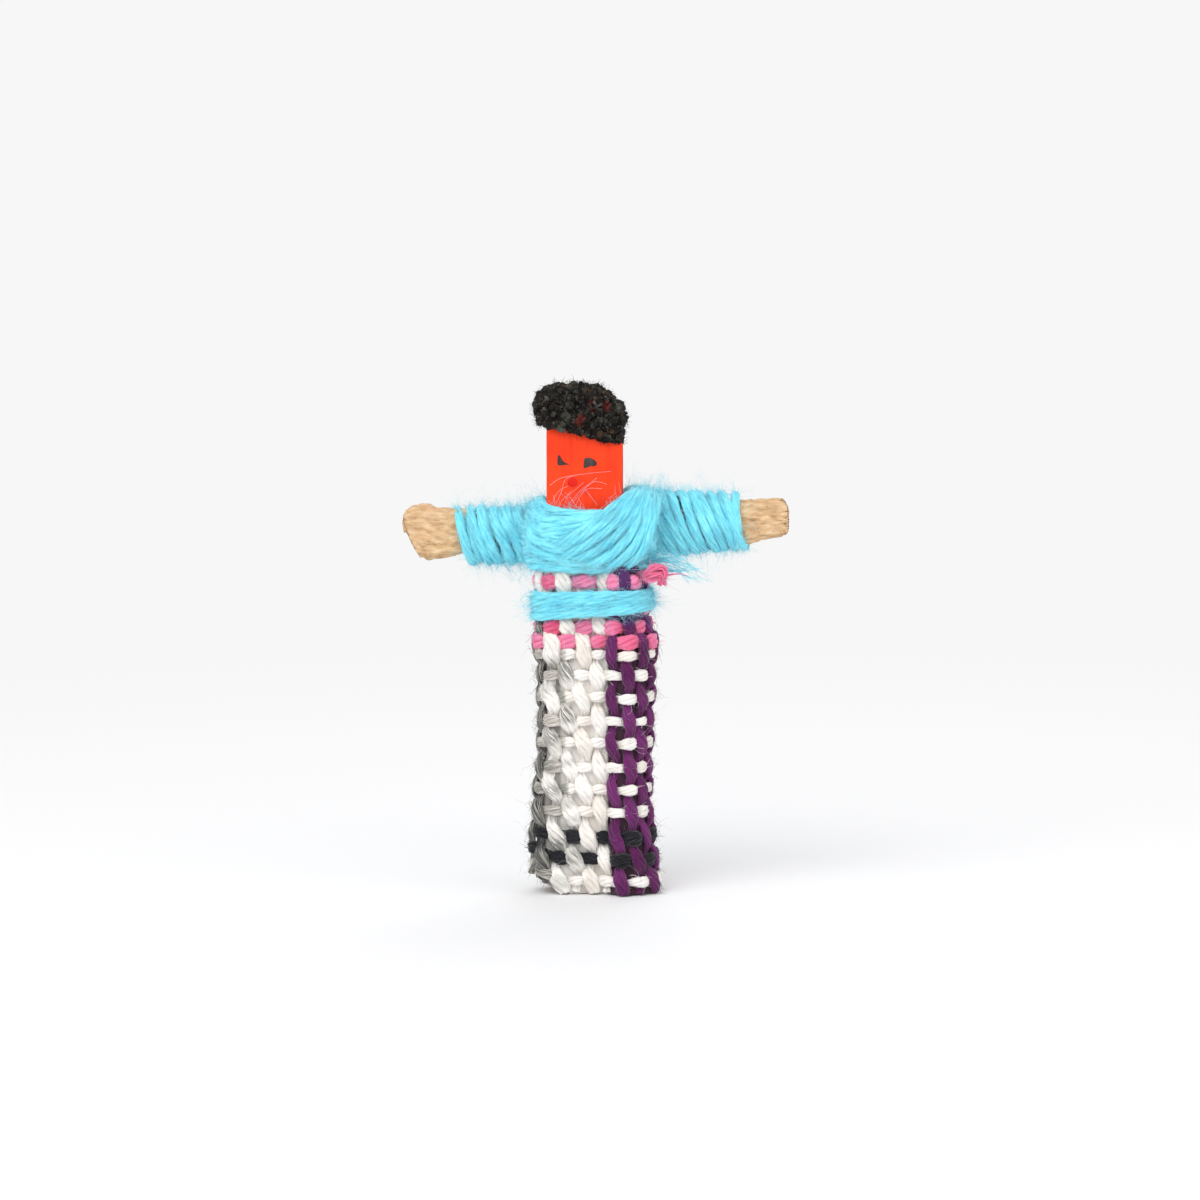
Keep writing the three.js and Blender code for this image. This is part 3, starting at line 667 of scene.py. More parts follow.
class SpunYarnTree(GeometryTree):
    """Turns lines into yarn: plies twisted round each line, with stray fibres.

    Each line carries the attributes facing (away from what it lies on), girth and dye.
    """

    def __init__(self) -> None:
        """Builds the tree."""
        super().__init__("spun_yarn", {
            "Plies": "Int", "Ply Radius": "Float", "Across": "Float", "Out": "Float",
            "Twist": "Float", "Sides": "Int", "Unevenness": "Float", "Seed": "Int",
            **{f"{kind} {size}": "Float" for kind in ("Nap", "Stray") for size in FIBRE_SIZES},
            "Material": "Material",
        })
        given = self.given
        curve = self.add("GeometryNodeMeshToCurve", {0: given["Geometry"]}).outputs[0]
        length = self.add("GeometryNodeSplineParameter").outputs["Length"]
        along = self.math("MULTIPLY", length, 1 / MM)
        tangent = self.add("GeometryNodeInputTangent").outputs[0]
        curve = self.store(curve, "along", along)
        curve = self.store(curve, "run", tangent, "FLOAT_VECTOR")
        plies = self.add(
            "GeometryNodeDuplicateElements", {0: curve, 2: given["Plies"]}, domain="SPLINE"
        )
        along = self.named("along")
        share = self.math("DIVIDE", plies.outputs[1], given["Plies"])
        turn = self.math("MULTIPLY_ADD", along, given["Twist"], self.math("MULTIPLY", share, math.tau))
        girth = self.named("girth")
        facing = self.named("facing", "FLOAT_VECTOR")
        beside = self.vector("CROSS_PRODUCT", self.named("run", "FLOAT_VECTOR"), facing)
        pushes = []
        for way, wave, reach in ((beside, "COSINE", "Across"), (facing, "SINE", "Out")):
            push = self.math("MULTIPLY", self.math(wave, turn), given[reach])
            pushes.append(self.vector("SCALE", way, self.math("MULTIPLY", push, girth)))
        laid = self.moved(plies.outputs[0], self.vector("ADD", *pushes))
        laid = self.store(laid, "ply", plies.outputs[1])
        bumps = self.math("SUBTRACT", self.clouds(2.3, 1.0).outputs["Fac"], 0.5)
        uneven = self.math("MULTIPLY_ADD", bumps, given["Unevenness"], 1.0)
        radius = self.math("MULTIPLY", self.math("MULTIPLY", given["Ply Radius"], girth), uneven)
        yarn = self.tube(laid, radius, given["Sides"])
        self.end(yarn, self.fibres(yarn, "Nap", 3, 0.1), self.fibres(yarn, "Stray", 7, 0.4))


class CrumbTree(GeometryTree):
    """Covers a surface with small uneven crumbs."""

    def __init__(self) -> None:
        """Builds the tree."""
        super().__init__("crumbs", {
            "Density": "Float", "Least": "Float", "Most": "Float", "Roughness": "Float",
            "Seed": "Int", **{f"Nap {size}": "Float" for size in FIBRE_SIZES}, "Material": "Material",
        })
        given = self.given
        spread = self.add("GeometryNodeDistributePointsOnFaces", {
            0: given["Geometry"], 4: given["Density"], 6: given["Seed"],
        }, distribute_method="RANDOM")
        points = self.store(spread.outputs[0], "tint", self.random(0.0, 1.0, 1))
        ball = self.add("GeometryNodeMeshIcoSphere", {0: 1.0, 1: 2}).outputs[0]
        size = self.random(given["Least"], given["Most"], 2)
        uneven = self.random((0.5, 0.5, 0.5), (1.45, 1.45, 1.45), 3, "FLOAT_VECTOR")
        turned = self.add("FunctionNodeEulerToRotation", {
            0: self.random((0, 0, 0), (6.3, 6.3, 6.3), 4, "FLOAT_VECTOR"),
        }).outputs[0]
        real = self.copies(points, ball, turned, self.vector("SCALE", uneven, size))
        rough = self.moved(real, self.vector("SCALE", self.sway(6.0, 3.0), given["Roughness"]))
        self.end(rough, self.fibres(rough, "Nap", 3, 0.0, with_run=False), given["Geometry"])


@dataclass(frozen=True)
class Fibres:
    """One set of fine fibres on a yarn: how many on a square millimetre, and how they lie."""

    density: float
    length: float
    radius: float
    lift: float
    wild: float
    curl: float

    def sizes(self, kind: str) -> dict[str, float]:
        """The tree's inputs for this set, as the kind called Nap or Stray."""
        sizes = (
            self.density / MM**2, self.length * MM, self.radius * MM, self.lift, self.wild, self.curl * MM)
        return {f"{kind}_{name}": size for name, size in zip(FIBRE_SIZES, sizes)}


YARN_NAP = Fibres(20, 1.1, 0.011, 0.12, 0.25, 0.35)
YARN_STRAY = Fibres(10, 1.6, 0.0055, 0.6, 0.9, 2.4)


@dataclass(frozen=True)
class Spin:
    """How a yarn is spun, in millimetres."""

    plies: int = 4
    ply_radius: float = 0.13
    across: float = 0.13
    out: float = 0.09
    twist: float = 1.5
    sides: int = 6
    unevenness: float = 0.45
    nap: Fibres = YARN_NAP
    stray: Fibres = YARN_STRAY

    def into(
        self, tree: SpunYarnTree, piece: Piece, material: Material, seed: int
    ) -> Piece:
        """Spins a piece's bare lines into yarn.

        Args:
            tree: the tree that spins it.
            piece: the lines.
            material: its finish.
            seed: the seed of its fibres.

        Returns:
            The piece.
        """
        tree.grow(
            piece, material, Plies=self.plies, Ply_Radius=self.ply_radius * MM,
            Across=self.across * MM, Out=self.out * MM, Twist=self.twist, Sides=self.sides,
            Unevenness=self.unevenness, Seed=seed, **self.nap.sizes("Nap"),
            **self.stray.sizes("Stray"),
        )
        return piece


@dataclass
class Strand:
    """One line of yarn, in millimetres."""

    points: list[Vector] = field(default_factory=list)
    facings: list[Vector] = field(default_factory=list)
    girths: list[float] = field(default_factory=list)
    dyes: list[Colour] = field(default_factory=list)
    marls: list[float] = field(default_factory=list)
    pale: float = 0.0

    def add(self, point: Vector, facing: Vector, girth: float, dye: Colour, marl: float) -> None:
        """Adds a point at the end.

        Args:
            point: where it lies.
            facing: which way is out there.
            girth: the thickness there, as a factor.
            dye: the colour there.
            marl: the share of black and pale fibres there.
        """
        self.points.append(point)
        self.facings.append(facing)
        self.girths.append(girth)
        self.dyes.append(dye)
        self.marls.append(marl)


def strand(
    points: Sequence[Vector],
    facing: Callable[[Vector, Vector], Vector],
    girth: Callable[[float], float] = lambda share: 1.0,
    dye: Callable[[float], Colour] = lambda share: (1, 1, 1, 1),
) -> Strand:
    """Makes a line of yarn.

    Args:
        points: where it runs.
        facing: which way is out, for a point and the line's direction there.
        girth: its thickness as a factor, for a share of its length.
        dye: its colour, for a share of its length.

    Returns:
        The strand.
    """
    last = len(points) - 1
    facings = []
    for i, point in enumerate(points):
        run = (points[min(i + 1, last)] - points[max(i - 1, 0)]).normalized()
        out = facing(point, run)
        out = out - run * out.dot(run)
        facings.append(out.normalized() if out.length > 1e-6 else UP.copy())
    shares = [i / last for i in range(last + 1)]
    return Strand(list(points), facings, [girth(s) for s in shares], [dye(s) for s in shares])


def curved(points: Sequence[Vector], step: float, closed: bool = False) -> list[Vector]:
    """A smooth line through some points, with a point about every step.

    Args:
        points: the places that it passes through.
        step: about how far apart its own points lie.
        closed: whether it runs back to the first place, which isn't then repeated.

    Returns:
        Its points.
    """
    line = []
    count = len(points)
    for i in range(count if closed else count - 1):
        if closed:
            before, a, b, after = (points[(i + k) % count] for k in (-1, 0, 1, 2))
        else:
            before, a, b, after = (points[min(max(i + k, 0), count - 1)] for k in (-1, 0, 1, 2))
        parts = max(1, round((b - a).length / step))
        for j in range(parts):
            t = j / parts
            line.append(0.5 * (
                2 * a + (b - before) * t + (2 * before - 5 * a + 4 * b - after) * t * t
                + (3 * a - before - 3 * b + after) * t ** 3
            ))
    return line if closed else [*line, points[-1].copy()]


def even(points: Sequence[Vector], step: float) -> list[Vector]:
    """The same line with a point every step along it.

    Args:
        points: the line.
        step: from point to point.

    Returns:
        Its new points.
    """
    line = [points[0].copy()]
    left = step
    for a, b in zip(points, points[1:]):
        length = (b - a).length
        place = left
        while place < length:
            line.append(a.lerp(b, place / length))
            place += step
        left = place - length
    line.append(points[-1].copy())
    return line


def lines_object(name: str, strands: Sequence[Strand]) -> Piece:
    """An object of bare edges along the strands, with their attributes.

    Args:
        name: its name.
        strands: the lines.

    Returns:
        The object.
    """
    points = [at(*point) for one in strands for point in one.points]
    edges = []
    start = 0
    for one in strands:
        edges += [(start + i, start + i + 1) for i in range(len(one.points) - 1)]
        start += len(one.points)
    mesh = bpy.data.meshes.new(name)
    mesh.from_pydata(points, edges, [])
    values = (
        ("facing", "FLOAT_VECTOR", "vector", [n for one in strands for way in one.facings for n in way]),
        ("girth", "FLOAT", "value", [girth for one in strands for girth in one.girths]),
        ("dye", "FLOAT_COLOR", "color", [n for one in strands for dye in one.dyes for n in dye]),
        ("stray", "FLOAT", "value", [one.pale for one in strands for _ in one.points]),
        ("marl", "FLOAT", "value", [m for one in strands for m in one.marls or [0.0] * len(one.points)]),
    )
    for attribute, kind, key, numbers in values:
        mesh.attributes.new(attribute, kind, "POINT").data.foreach_set(key, numbers)
    return shown(name, mesh)


def keep_above_floor(piece: Piece) -> None:
    """Lifts what would reach below the floor up to it."""
    for vertex in piece.data.vertices:
        vertex.co.z = max(vertex.co.z, 0.0)


def shown(name: str, data: bpy.types.ID) -> Piece:
    """Puts a mesh, a camera or a lamp in the scene.

    Args:
        name: the object's name.
        data: what it shows.

    Returns:
        The object.
    """
    piece = bpy.data.objects.new(name, data)
    bpy.context.scene.collection.objects.link(piece)
    return piece


def settle(piece: Piece, slot: str, nodes: Sequence[str] = ()) -> None:
    """Sets a finished piece on its body, hides the nodes that it replaces, and reports it with its slot.

    Args:
        piece: the piece.
        slot: its material slot.
        nodes: the nodes that it replaces, if any.
    """
    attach(piece, BODY)
    if nodes:
        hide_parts(*nodes)
    triangles = sum(len(face.vertices) - 2 for face in piece.data.polygons)
    LOG.info("%s: %d triangles, finish %s, replaces %s", piece.name, triangles, slot, list(nodes))


def skin(name: str, rings: Sequence[Sequence[Vector]], material: Material) -> Piece:
    """A closed smooth skin over rings of points in millimetres, with its ends filled.

    Args:
        name: the piece's name.
        rings: the rings, each with as many points.
        material: its finish.

    Returns:
        The piece.
    """
    mesh = bpy.data.meshes.new(name)
    build = bmesh.new()
    levels = [[build.verts.new(at(*point)) for point in ring] for ring in rings]
    for low, high in zip(levels, levels[1:]):
        for i in range(len(low)):
            j = (i + 1) % len(low)
            build.faces.new((low[i], low[j], high[j], high[i]))
    build.faces.new(list(reversed(levels[0])))
    build.faces.new(levels[-1])
    bmesh.ops.recalc_face_normals(build, faces=build.faces)
    for face in build.faces:
        face.smooth = True
    build.to_mesh(mesh)
    build.free()
    mesh.materials.append(material)
    return shown(name, mesh)


def rounded_rectangle(
    half_width: float, half_height: float, corner: float, count: int
) -> list[tuple[Vector, Vector]]:
    """Points evenly round a rectangle with round corners, anticlockwise.

    Args:
        half_width: half its width.
        half_height: half its height.
        corner: its corners' radius.
        count: how many points.

    Returns:
        A list of places, each with the direction outwards there.
    """
    flat_w, flat_h = half_width - corner, half_height - corner
    arc = math.pi * corner / 2
    sides = [(1, 0, 2 * flat_h), (0, 1, 2 * flat_w), (-1, 0, 2 * flat_h), (0, -1, 2 * flat_w)]
    total = sum(length for *_, length in sides) + 4 * arc
    places = []
    for i in range(count):
        left = total * i / count
        for turn, (nx, ny, length) in enumerate(sides):
            middle = Vector((nx * flat_w, ny * flat_h))
            ahead = Vector((-ny, nx))
            if left < length:
                out = Vector((nx, ny))
                start = middle + out * corner - ahead * (length / 2)
                places.append((start + ahead * left, out))
                break
            left -= length
            if left < arc:
                angle = turn * math.pi / 2 + left / corner
                out = Vector((math.cos(angle), math.sin(angle)))
                places.append((middle + ahead * (length / 2) + out * corner, out))
                break
            left -= arc
    return places


@dataclass
class Studio:
    """The camera, the soft lamps, the pale floor and the pale surroundings."""

    target: Triple = (0.156, 0.0, 15.2)
    elevation: float = 5.5
    distance: float = 200.0
    lens: float = 115.4
    pale: float = 0.93
    world_light: float = 0.52
    floor_half: float = 1.5
    fade_start: float = 0.03
    fade_end: float = 0.12
    lamps: tuple[tuple[str, Triple, float, float], ...] = (
        ("key", (-140, -230, 260), 0.30, 0.95),
        ("fill", (220, -190, 120), 0.32, 0.34),
        ("rim", (60, 240, 220), 0.25, 0.3),
    )

    def build(self) -> None:
        """Makes everything round the doll."""
        self.camera()
        for lamp in self.lamps:
            self.lamp(*lamp)
        self.floor()
        self.world()

    def camera(self) -> None:
        """Sets the camera at the photograph's viewing angle."""
        data = bpy.data.cameras.new("camera")
        data.lens = self.lens
        data.sensor_width = 36
        data.clip_start = 0.005
        camera = shown("camera", data)
        rise = math.radians(self.elevation)
        back = Vector((0, -math.cos(rise), math.sin(rise))) * self.distance * MM
        camera.location = Vector(self.target) * MM + back
        camera.rotation_euler = (-back).to_track_quat("-Z", "Y").to_euler()
        bpy.context.scene.camera = camera

    def lamp(self, name: str, place: Triple, size: float, power: float) -> None:
        """Adds a soft square lamp that points at the doll.

        Args:
            name: its name.
            place: where it stands.
            size: its side in metres.
            power: its light in watts.
        """
        data = bpy.data.lights.new(name, "AREA")
        data.size = size
        data.energy = power
        lamp = shown(name, data)
        lamp.location = Vector(place) * MM
        towards = Vector(self.target) * MM - lamp.location
        lamp.rotation_euler = towards.to_track_quat("-Z", "Y").to_euler()

    def floor(self) -> None:
        """A pale floor that keeps the doll's shadow and fades into the surroundings."""
        half = self.floor_half
        mesh = bpy.data.meshes.new("floor")
        corners = [(-half, -half, 0), (half, -half, 0), (half, half, 0), (-half, half, 0)]
        mesh.from_pydata(corners, [], [(0, 1, 2, 3)])
        floor = shown("floor", mesh)
        material = bpy.data.materials.new("floor")
        material.use_nodes = True
        graph = Graph(material.node_tree)
        shader = material.node_tree.nodes["Principled BSDF"]
        shader.inputs["Base Color"].default_value = (0.86, 0.86, 0.87, 1)
        shader.inputs["Roughness"].default_value = 0.9
        far = graph.vector("LENGTH", graph.add("ShaderNodeTexCoord").outputs["Object"])
        length = far.node.outputs["Value"]
        share = graph.span(length, self.fade_start, self.fade_end)
        seen = graph.add("ShaderNodeLightPath").outputs["Is Camera Ray"]
        glow = graph.add("ShaderNodeEmission", {0: (self.pale, self.pale, self.pale, 1), 1: 1.0})
        mixed = graph.add("ShaderNodeMixShader", {
            0: graph.math("MULTIPLY", share, seen), 1: shader.outputs[0], 2: glow.outputs[0],
        })
        output = material.node_tree.nodes["Material Output"]
        material.node_tree.links.new(mixed.outputs[0], output.inputs["Surface"])
        mesh.materials.append(material)

    def world(self) -> None:
        """Even light from all round, with a pale colour where it is seen."""
        world = bpy.data.worlds.new("world")
        world.use_nodes = True
        graph = Graph(world.node_tree)
        background = world.node_tree.nodes["Background"]
        path = graph.add("ShaderNodeLightPath")
        seen = graph.math("MAXIMUM", path.outputs["Is Camera Ray"], path.outputs["Is Glossy Ray"])
        seen = graph.math("MAXIMUM", seen, path.outputs["Is Transmission Ray"])
        strength = graph.span(seen, 0.0, 1.0, self.world_light, self.pale)
        world.node_tree.links.new(strength, background.inputs["Strength"])
        background.inputs["Color"].default_value = (1, 1, 1, 1)
        bpy.context.scene.world = world
        bpy.context.scene.view_settings.view_transform = "Standard"


class Finishes:
    """Every material of the doll."""

    def __init__(self) -> None:
        """Makes the materials."""
        self.wood = WoodFinish("bare_wood").make()
        self.upright_wood = WoodFinish("bare_wood_upright", upright=True).make()
        self.face = PaintFinish("face_paint", base="fb4010", worn="ea340a").make()
        self.eyes = PaintFinish("eye_paint", base="4a403e", worn="261b18", roughness=0.4).make()
        self.mouth = PaintFinish("mouth_paint", base="e41c0c", worn="d2160a", roughness=0.4).make()
        self.hair = CrumbFinish("hair_crumb").make()
        self.blue = YarnFinish("blue_yarn", Dye.SKY_LIGHT, Dye.SKY_DEEP, sheen=0.3).make()
        self.cotton = YarnFinish("woven_cotton").make()


@dataclass
class Arms:
    """The coarse splint across the back, whose bare ends are the hands."""

    length: float = 20.07
    shift: float = 0.56
    height: float = 2.6
    depth: float = 1.8
    tilt: float = math.radians(1.65)
    middle_y: float = 1.78
    middle_z: float = 19.03
    left_slant: float = 0.82
    left_hand: float = 3.25
    right_hand: float = 2.75
    waist: float = 0.42
    corner: float = 0.42
    fibre_height: float = 0.07
    lump_height: float = 0.1
    pit_depth: float = 0.3
    rings: int = 170
    sides: int = 90
    insets: tuple[float, ...] = (0.97, 0.8, 0.62, 0.45, 0.3, 0.17, 0.08, 0.03)
    top: Table = (
        (-9.6, 1.0), (-9.25, 1.18), (-8.6, 1.27), (-8.05, 1.33), (-7.75, 1.1), (-6.7, 1.0),
        (8.4, 1.08), (10.7, 1.02),
    )
    bottom: Table = (
        (-9.6, -1.35), (-9.0, -1.48), (-8.57, -1.57), (-8.1, -1.52), (-6.7, -1.34), (-5.0, -1.1),
        (6.0, -1.1), (8.4, -1.22), (9.5, -0.98), (10.7, -0.8),
    )

    def spot(self, x: float, y: float, z: float) -> Vector:
        """A place near the splint's middle line.

        Args:
            x: along it.
            y: behind it.
            z: above it.

        Returns:
            The place, seen from the body's middle.
        """
        return Vector((
            x - z * math.sin(self.tilt),
            self.middle_y + y,
            self.middle_z + x * math.tan(self.tilt) + z * math.cos(self.tilt),
        ))

    def ring(self, share: float, inset: float, is_end: bool) -> list[Vector]:
        """One ring of the splint, pushed in and out by its fibres.

        Args:
            share: how far along the splint it lies.
            inset: how far it is drawn in, for the rings that close an end.
            is_end: whether it belongs to an end's cut face.

        Returns:
            Its points.
        """
        left = self.shift - self.length / 2
        x = left + share * self.length
        from_right = left + self.length - x
        hidden = smooth((min(x - left - self.left_hand, from_right - self.right_hand)) / 0.6)
        narrow = self.waist * hidden
        outline = rounded_rectangle(
            self.depth / 2 - narrow, self.height / 2 - narrow, self.corner, self.sides)
        high, low = along_table(self.top, x), along_table(self.bottom, x)
        points = []
        for place, out in outline:
            angle = math.atan2(place.y, place.x)
            fibre, fine, lump, pit = (
                grain(x * lengthwise, around * math.cos(angle), around * math.sin(angle), seed)
                for lengthwise, around, seed in ((0.5, 6.5, 1), (2.1, 17, 2), (0.9, 1.5, 3), (2.2, 12, 4))
            )
            push = self.fibre_height * fibre + self.fibre_height * fine + self.lump_height * lump
            push -= self.pit_depth * max(0.0, pit - 0.25)
            y = (place.x + push * out.x) * (1 - inset)
            level = place.y / self.height + 0.5
            middle = (high + low) / 2
            z = middle + (lerp(low, high, level) - middle + push * out.y) * (1 - inset)
            corner = 0.3 * abs(2 * level - 1) ** 7 * (1 - inset) ** 3
            near_end = smooth(abs(2 * share - 1) * 6 - 5)
            if share < 0.5:
                lean = self.left_slant * (1 - level) ** 1.7 + corner * level
            else:
                lean = -corner
            edge = 0.0
            if is_end:
                edge = 0.14 * grain(y * 3.2, z * 3.2, share * 9, 5) - 0.24 * (1 - inset) ** 8
                edge *= 1 if share > 0.5 else -1
            points.append(self.spot(x + lean * near_end + edge, y, z))
        return points

    def build(self, finishes: Finishes) -> None:
        """Makes the splint.

        Args:
            finishes: the doll's materials.
        """
        rings = [self.ring(0.0, inset, True) for inset in self.insets]
        rings += [self.ring(i / self.rings, 0.0, False) for i in range(self.rings + 1)]
        rings += [self.ring(1.0, inset, True) for inset in reversed(self.insets)]
        settle(skin("arm_splint", rings, finishes.wood), "bare_wood", ["arm_stick"])


@dataclass(frozen=True)
class Dab:
    """A low dome of paint on the face, with its middle and its edge round that, as x and z."""

    name: str
    node: str
    slot: str
    x: float
    z: float
    outline: Table


@dataclass
class Head:
    """The painted end of the body stick, with its painted eyes and mouth."""

    half_width: float = 1.97
    half_depth: float = 0.82
    corner: float = 0.26
    bottom: float = 19.1
    top: float = 25.42
    taper: float = 0.5
    taper_from: float = 24.35
    tuck: float = 0.16
    tuck_from: float = 23.35
    split_depth: float = 0.05
    split_x: float = -1.45
    split_z: float = 20.2
    rings: int = 90
    sides: int = 96
    dab_step: float = 0.02
    dab_lift: float = 0.004
    end_rings: Table = ((0.94, 0), (0.6, 0), (0.3, 0.01), (0.12, 0.03), (0.04, 0.08))
    left_eye: Dab = Dab("left_eye_dab", "left_eye", "eye_paint", -1.2, 22.52, (
        (-0.19, 0.28), (-0.08, 0.3), (0.03, 0.1), (0.16, -0.05), (0.4, -0.18), (0.18, -0.21),
        (-0.12, -0.23), (-0.25, -0.17), (-0.27, 0.04),
    ))
    right_eye: Dab = Dab("right_eye_dab", "right_eye", "eye_paint", 0.27, 22.4, (
        (-0.26, 0.26), (-0.04, 0.29), (0.2, 0.2), (0.36, 0.02), (0.28, -0.13), (0.02, -0.15),
        (-0.2, -0.23), (-0.32, -0.22), (-0.32, 0.02),
    ))
    mouth: Dab = Dab("mouth_dab", "mouth", "mouth_paint", -0.62, 21.43, (
        (0.0, 0.25), (0.18, 0.18), (0.25, 0.0), (0.19, -0.17), (0.02, -0.25), (-0.17, -0.19),
        (-0.26, -0.01), (-0.19, 0.17),
    ))
    dome: Table = ((0.9, -0.03), (1.0, 0.0), (0.93, 0.016), (0.75, 0.026), (0.4, 0.032), (0.06, 0.034))

    def face_y(self, x: float, z: float) -> float:
        """How far forward the face's uneven front stands."""
        split = self.split_depth * smooth((x - self.split_x) / 0.12) * smooth(z - self.split_z)
        return -self.half_depth - 0.02 * grain(x * 1.2, 0, z * 0.5, 8) - split + 0.05

    def build(self, finishes: Finishes) -> None:
        """Makes the head and what is painted on it.

        Args:
            finishes: the doll's materials.
        """
        rings = []
        levels = [(self.bottom + drop, inset) for inset, drop in self.end_rings]
        levels += [
            (lerp(self.bottom + 0.12, self.top - 0.12, i / self.rings), 0.0)
            for i in range(self.rings + 1)
        ]
        levels += [(self.top - drop, inset) for inset, drop in reversed(self.end_rings)]
        for z, inset in levels:
            ring = []
            width = self.half_width - self.taper * smooth(z - self.taper_from)
            tuck = self.tuck * smooth((z - self.tuck_from) / 0.3)
            for place, out in rounded_rectangle(width, self.half_depth, self.corner, self.sides):
                push = 0.03 * grain(place.x * 1.1, place.y * 2, z * 0.45, 6)
                push += 0.012 * grain(place.x * 6, place.y * 6, z * 0.7, 7)
                x = (place.x + push * out.x) * (1 - inset) - tuck * smooth(place.x / 2)
                y = (place.y + push * out.y) * (1 - inset)
                if out.y < -0.7 and inset < 0.5:
                    y = min(y, lerp(self.face_y(x, z), y, inset))
                ring.append(Vector((x, y, z)))
            rings.append(ring)
        settle(skin("painted_head", rings, finishes.face), "face_paint", ["head_paint"])
        self.paint(self.left_eye, finishes.eyes)
        self.paint(self.right_eye, finishes.eyes)
        self.paint(self.mouth, finishes.mouth)

    def paint(self, dab: Dab, material: Material) -> None:
        """Makes a dab of paint.

        Args:
            dab: its place and its edge.
            material: its finish.
        """
        edge = curved([Vector((px, 0, pz)) for px, pz in dab.outline], self.dab_step, closed=True)
        rings = []
        for reach, height in self.dome:
            ring = []
            for point in edge:
                px, pz = dab.x + point.x * reach, dab.z + point.z * reach
                ring.append(Vector((px, self.face_y(px, pz) - height - self.dab_lift, pz)))
            rings.append(ring)
        settle(skin(dab.name, rings, material), dab.slot, [dab.node])


@dataclass
class Hair:
    """A cap of crumbled wool that is glued on the head's end, with a slanting lower edge."""

    left: float = -2.45
    right: float = 1.94
    front: float = 1.18
    crown: float = 26.32
    drop_left: float = 24.52
    drop_right: float = 23.42
    tuck: float = 0.3
    crown_slope: float = 0.36
    crumb_density: float = 27e6
    least_crumb: float = 0.06
    most_crumb: float = 0.23
    roughness: float = 0.34
    nap: Fibres = Fibres(22, 0.42, 0.009, 0.5, 0.8, 0.5)
    left_widths: Table = (
        (0.0, 1.0), (0.5, 1.0), (0.7, 0.94), (0.85, 0.87), (0.95, 0.78), (1.0, 0.6),
    )
    right_widths: Table = (
        (0.0, 0.97), (0.3, 0.99), (0.6, 0.98), (0.74, 0.955), (0.84, 0.8), (0.92, 0.72), (1.0, 0.6),
    )
    rings: int = 28
    sides: int = 84

    def cap(self) -> list[list[Vector]]:
        """The rings of the cap, from its lower edge to the crown.

        Returns:
            Each ring's points.
        """
        half = (self.right - self.left) / 2
        middle = (self.right + self.left) / 2
        rings = []
        for i in range(self.rings + 1):
            rise = lerp(-0.05, math.pi / 2 * 0.97, i / self.rings)
            level = boxy(math.sin(max(rise, 0.0)), 0.8)
            left, right = along_table(self.left_widths, level), along_table(self.right_widths, level)
            closing = boxy(min(1.0, (math.pi / 2 - rise) / 0.35), 0.6)
            ring = []
            for j in range(self.sides):
                turn = math.tau * j / self.sides
                wide = closing * lerp(left, right, smooth(0.5 + 0.5 * math.cos(turn)))
                x = half * wide * boxy(math.cos(turn), 0.5)
                y = self.front * wide * boxy(math.sin(turn), 0.5)
                line = lerp(self.drop_left, self.drop_right, (x + half) / (2 * half))
                tuck = self.tuck * smooth(-x / half) * (1 - smooth(rise / 0.5))
                crown = self.crown - self.crown_slope * smooth((x - 0.2) / 1.8)
                z = line + (crown - line) * level
                lump = 1 - tuck * 0.16 + 0.05 * grain(x * 0.8, y * 0.8, z * 0.8, 11)
                ring.append(Vector((middle + x * lump, y * lump, z)))
            rings.append(ring)
        inner = [Vector((middle + (p.x - middle) * 0.86, p.y * 0.8, p.z + 0.03)) for p in rings[0]]
        return [inner, *rings]

    def build(self, finishes: Finishes) -> None:
        """Makes the cap and its crumbs.

        Args:
            finishes: the doll's materials.
        """
        cap = skin("hair_cap", self.cap(), finishes.hair)
        cap.data.attributes.new("tint", "FLOAT", "POINT")
        CrumbTree().grow(
            cap, finishes.hair, Density=self.crumb_density, Least=self.least_crumb * MM,
            Most=self.most_crumb * MM, Roughness=self.roughness * MM, Seed=7, **self.nap.sizes("Nap"),
        )
        settle(cap, "hair_crumb", ["hair"])


@dataclass(frozen=True)
class Winding:
    """Turns of yarn round the arm, from one place along it to another, which start behind it.

    They lean to the right as they go down by the share called lean, hang below the arm's middle
    line by drop, and have half the height of a table along the arm, less what is taken off.
    """

    outer: float
    inner: float
    pitch: float
    half_height: Table
    half_depth: float
    lean: float
    girth: float
    drop: float = 0.0
    taken_off: float = 0.0
    steps_a_turn: int = 80
    step: float = 0.17

    def turns(self, arms: Arms) -> list[Vector]:
        """The line of the yarn.

        Args:
            arms: the splint that it is wound on.

        Returns:
            Its points.
        """
        loops = round(abs(self.inner - self.outer) / self.pitch)
        steps = loops * self.steps_a_turn
        points = []
        for i in range(steps + 1):
            turn = math.pi + math.tau * loops * i / steps
            x = lerp(self.outer, self.inner, i / steps)
            wander = 0.2 * grain(x * 1.7, 0.6 * math.cos(turn), 0.6 * math.sin(turn), 21 + self.pitch)
            bulge = 1 + 0.07 * grain(x * 1.9, 0, 0, 22)
            half_height = along_table(self.half_height, x) - self.taken_off
            z = half_height * bulge * boxy(math.sin(turn), 0.8)
            y = -self.half_depth * bulge * boxy(math.cos(turn), 0.8)
            points.append(arms.spot(x + wander - z * self.lean, y, z - self.drop))
        return even(points, self.step)


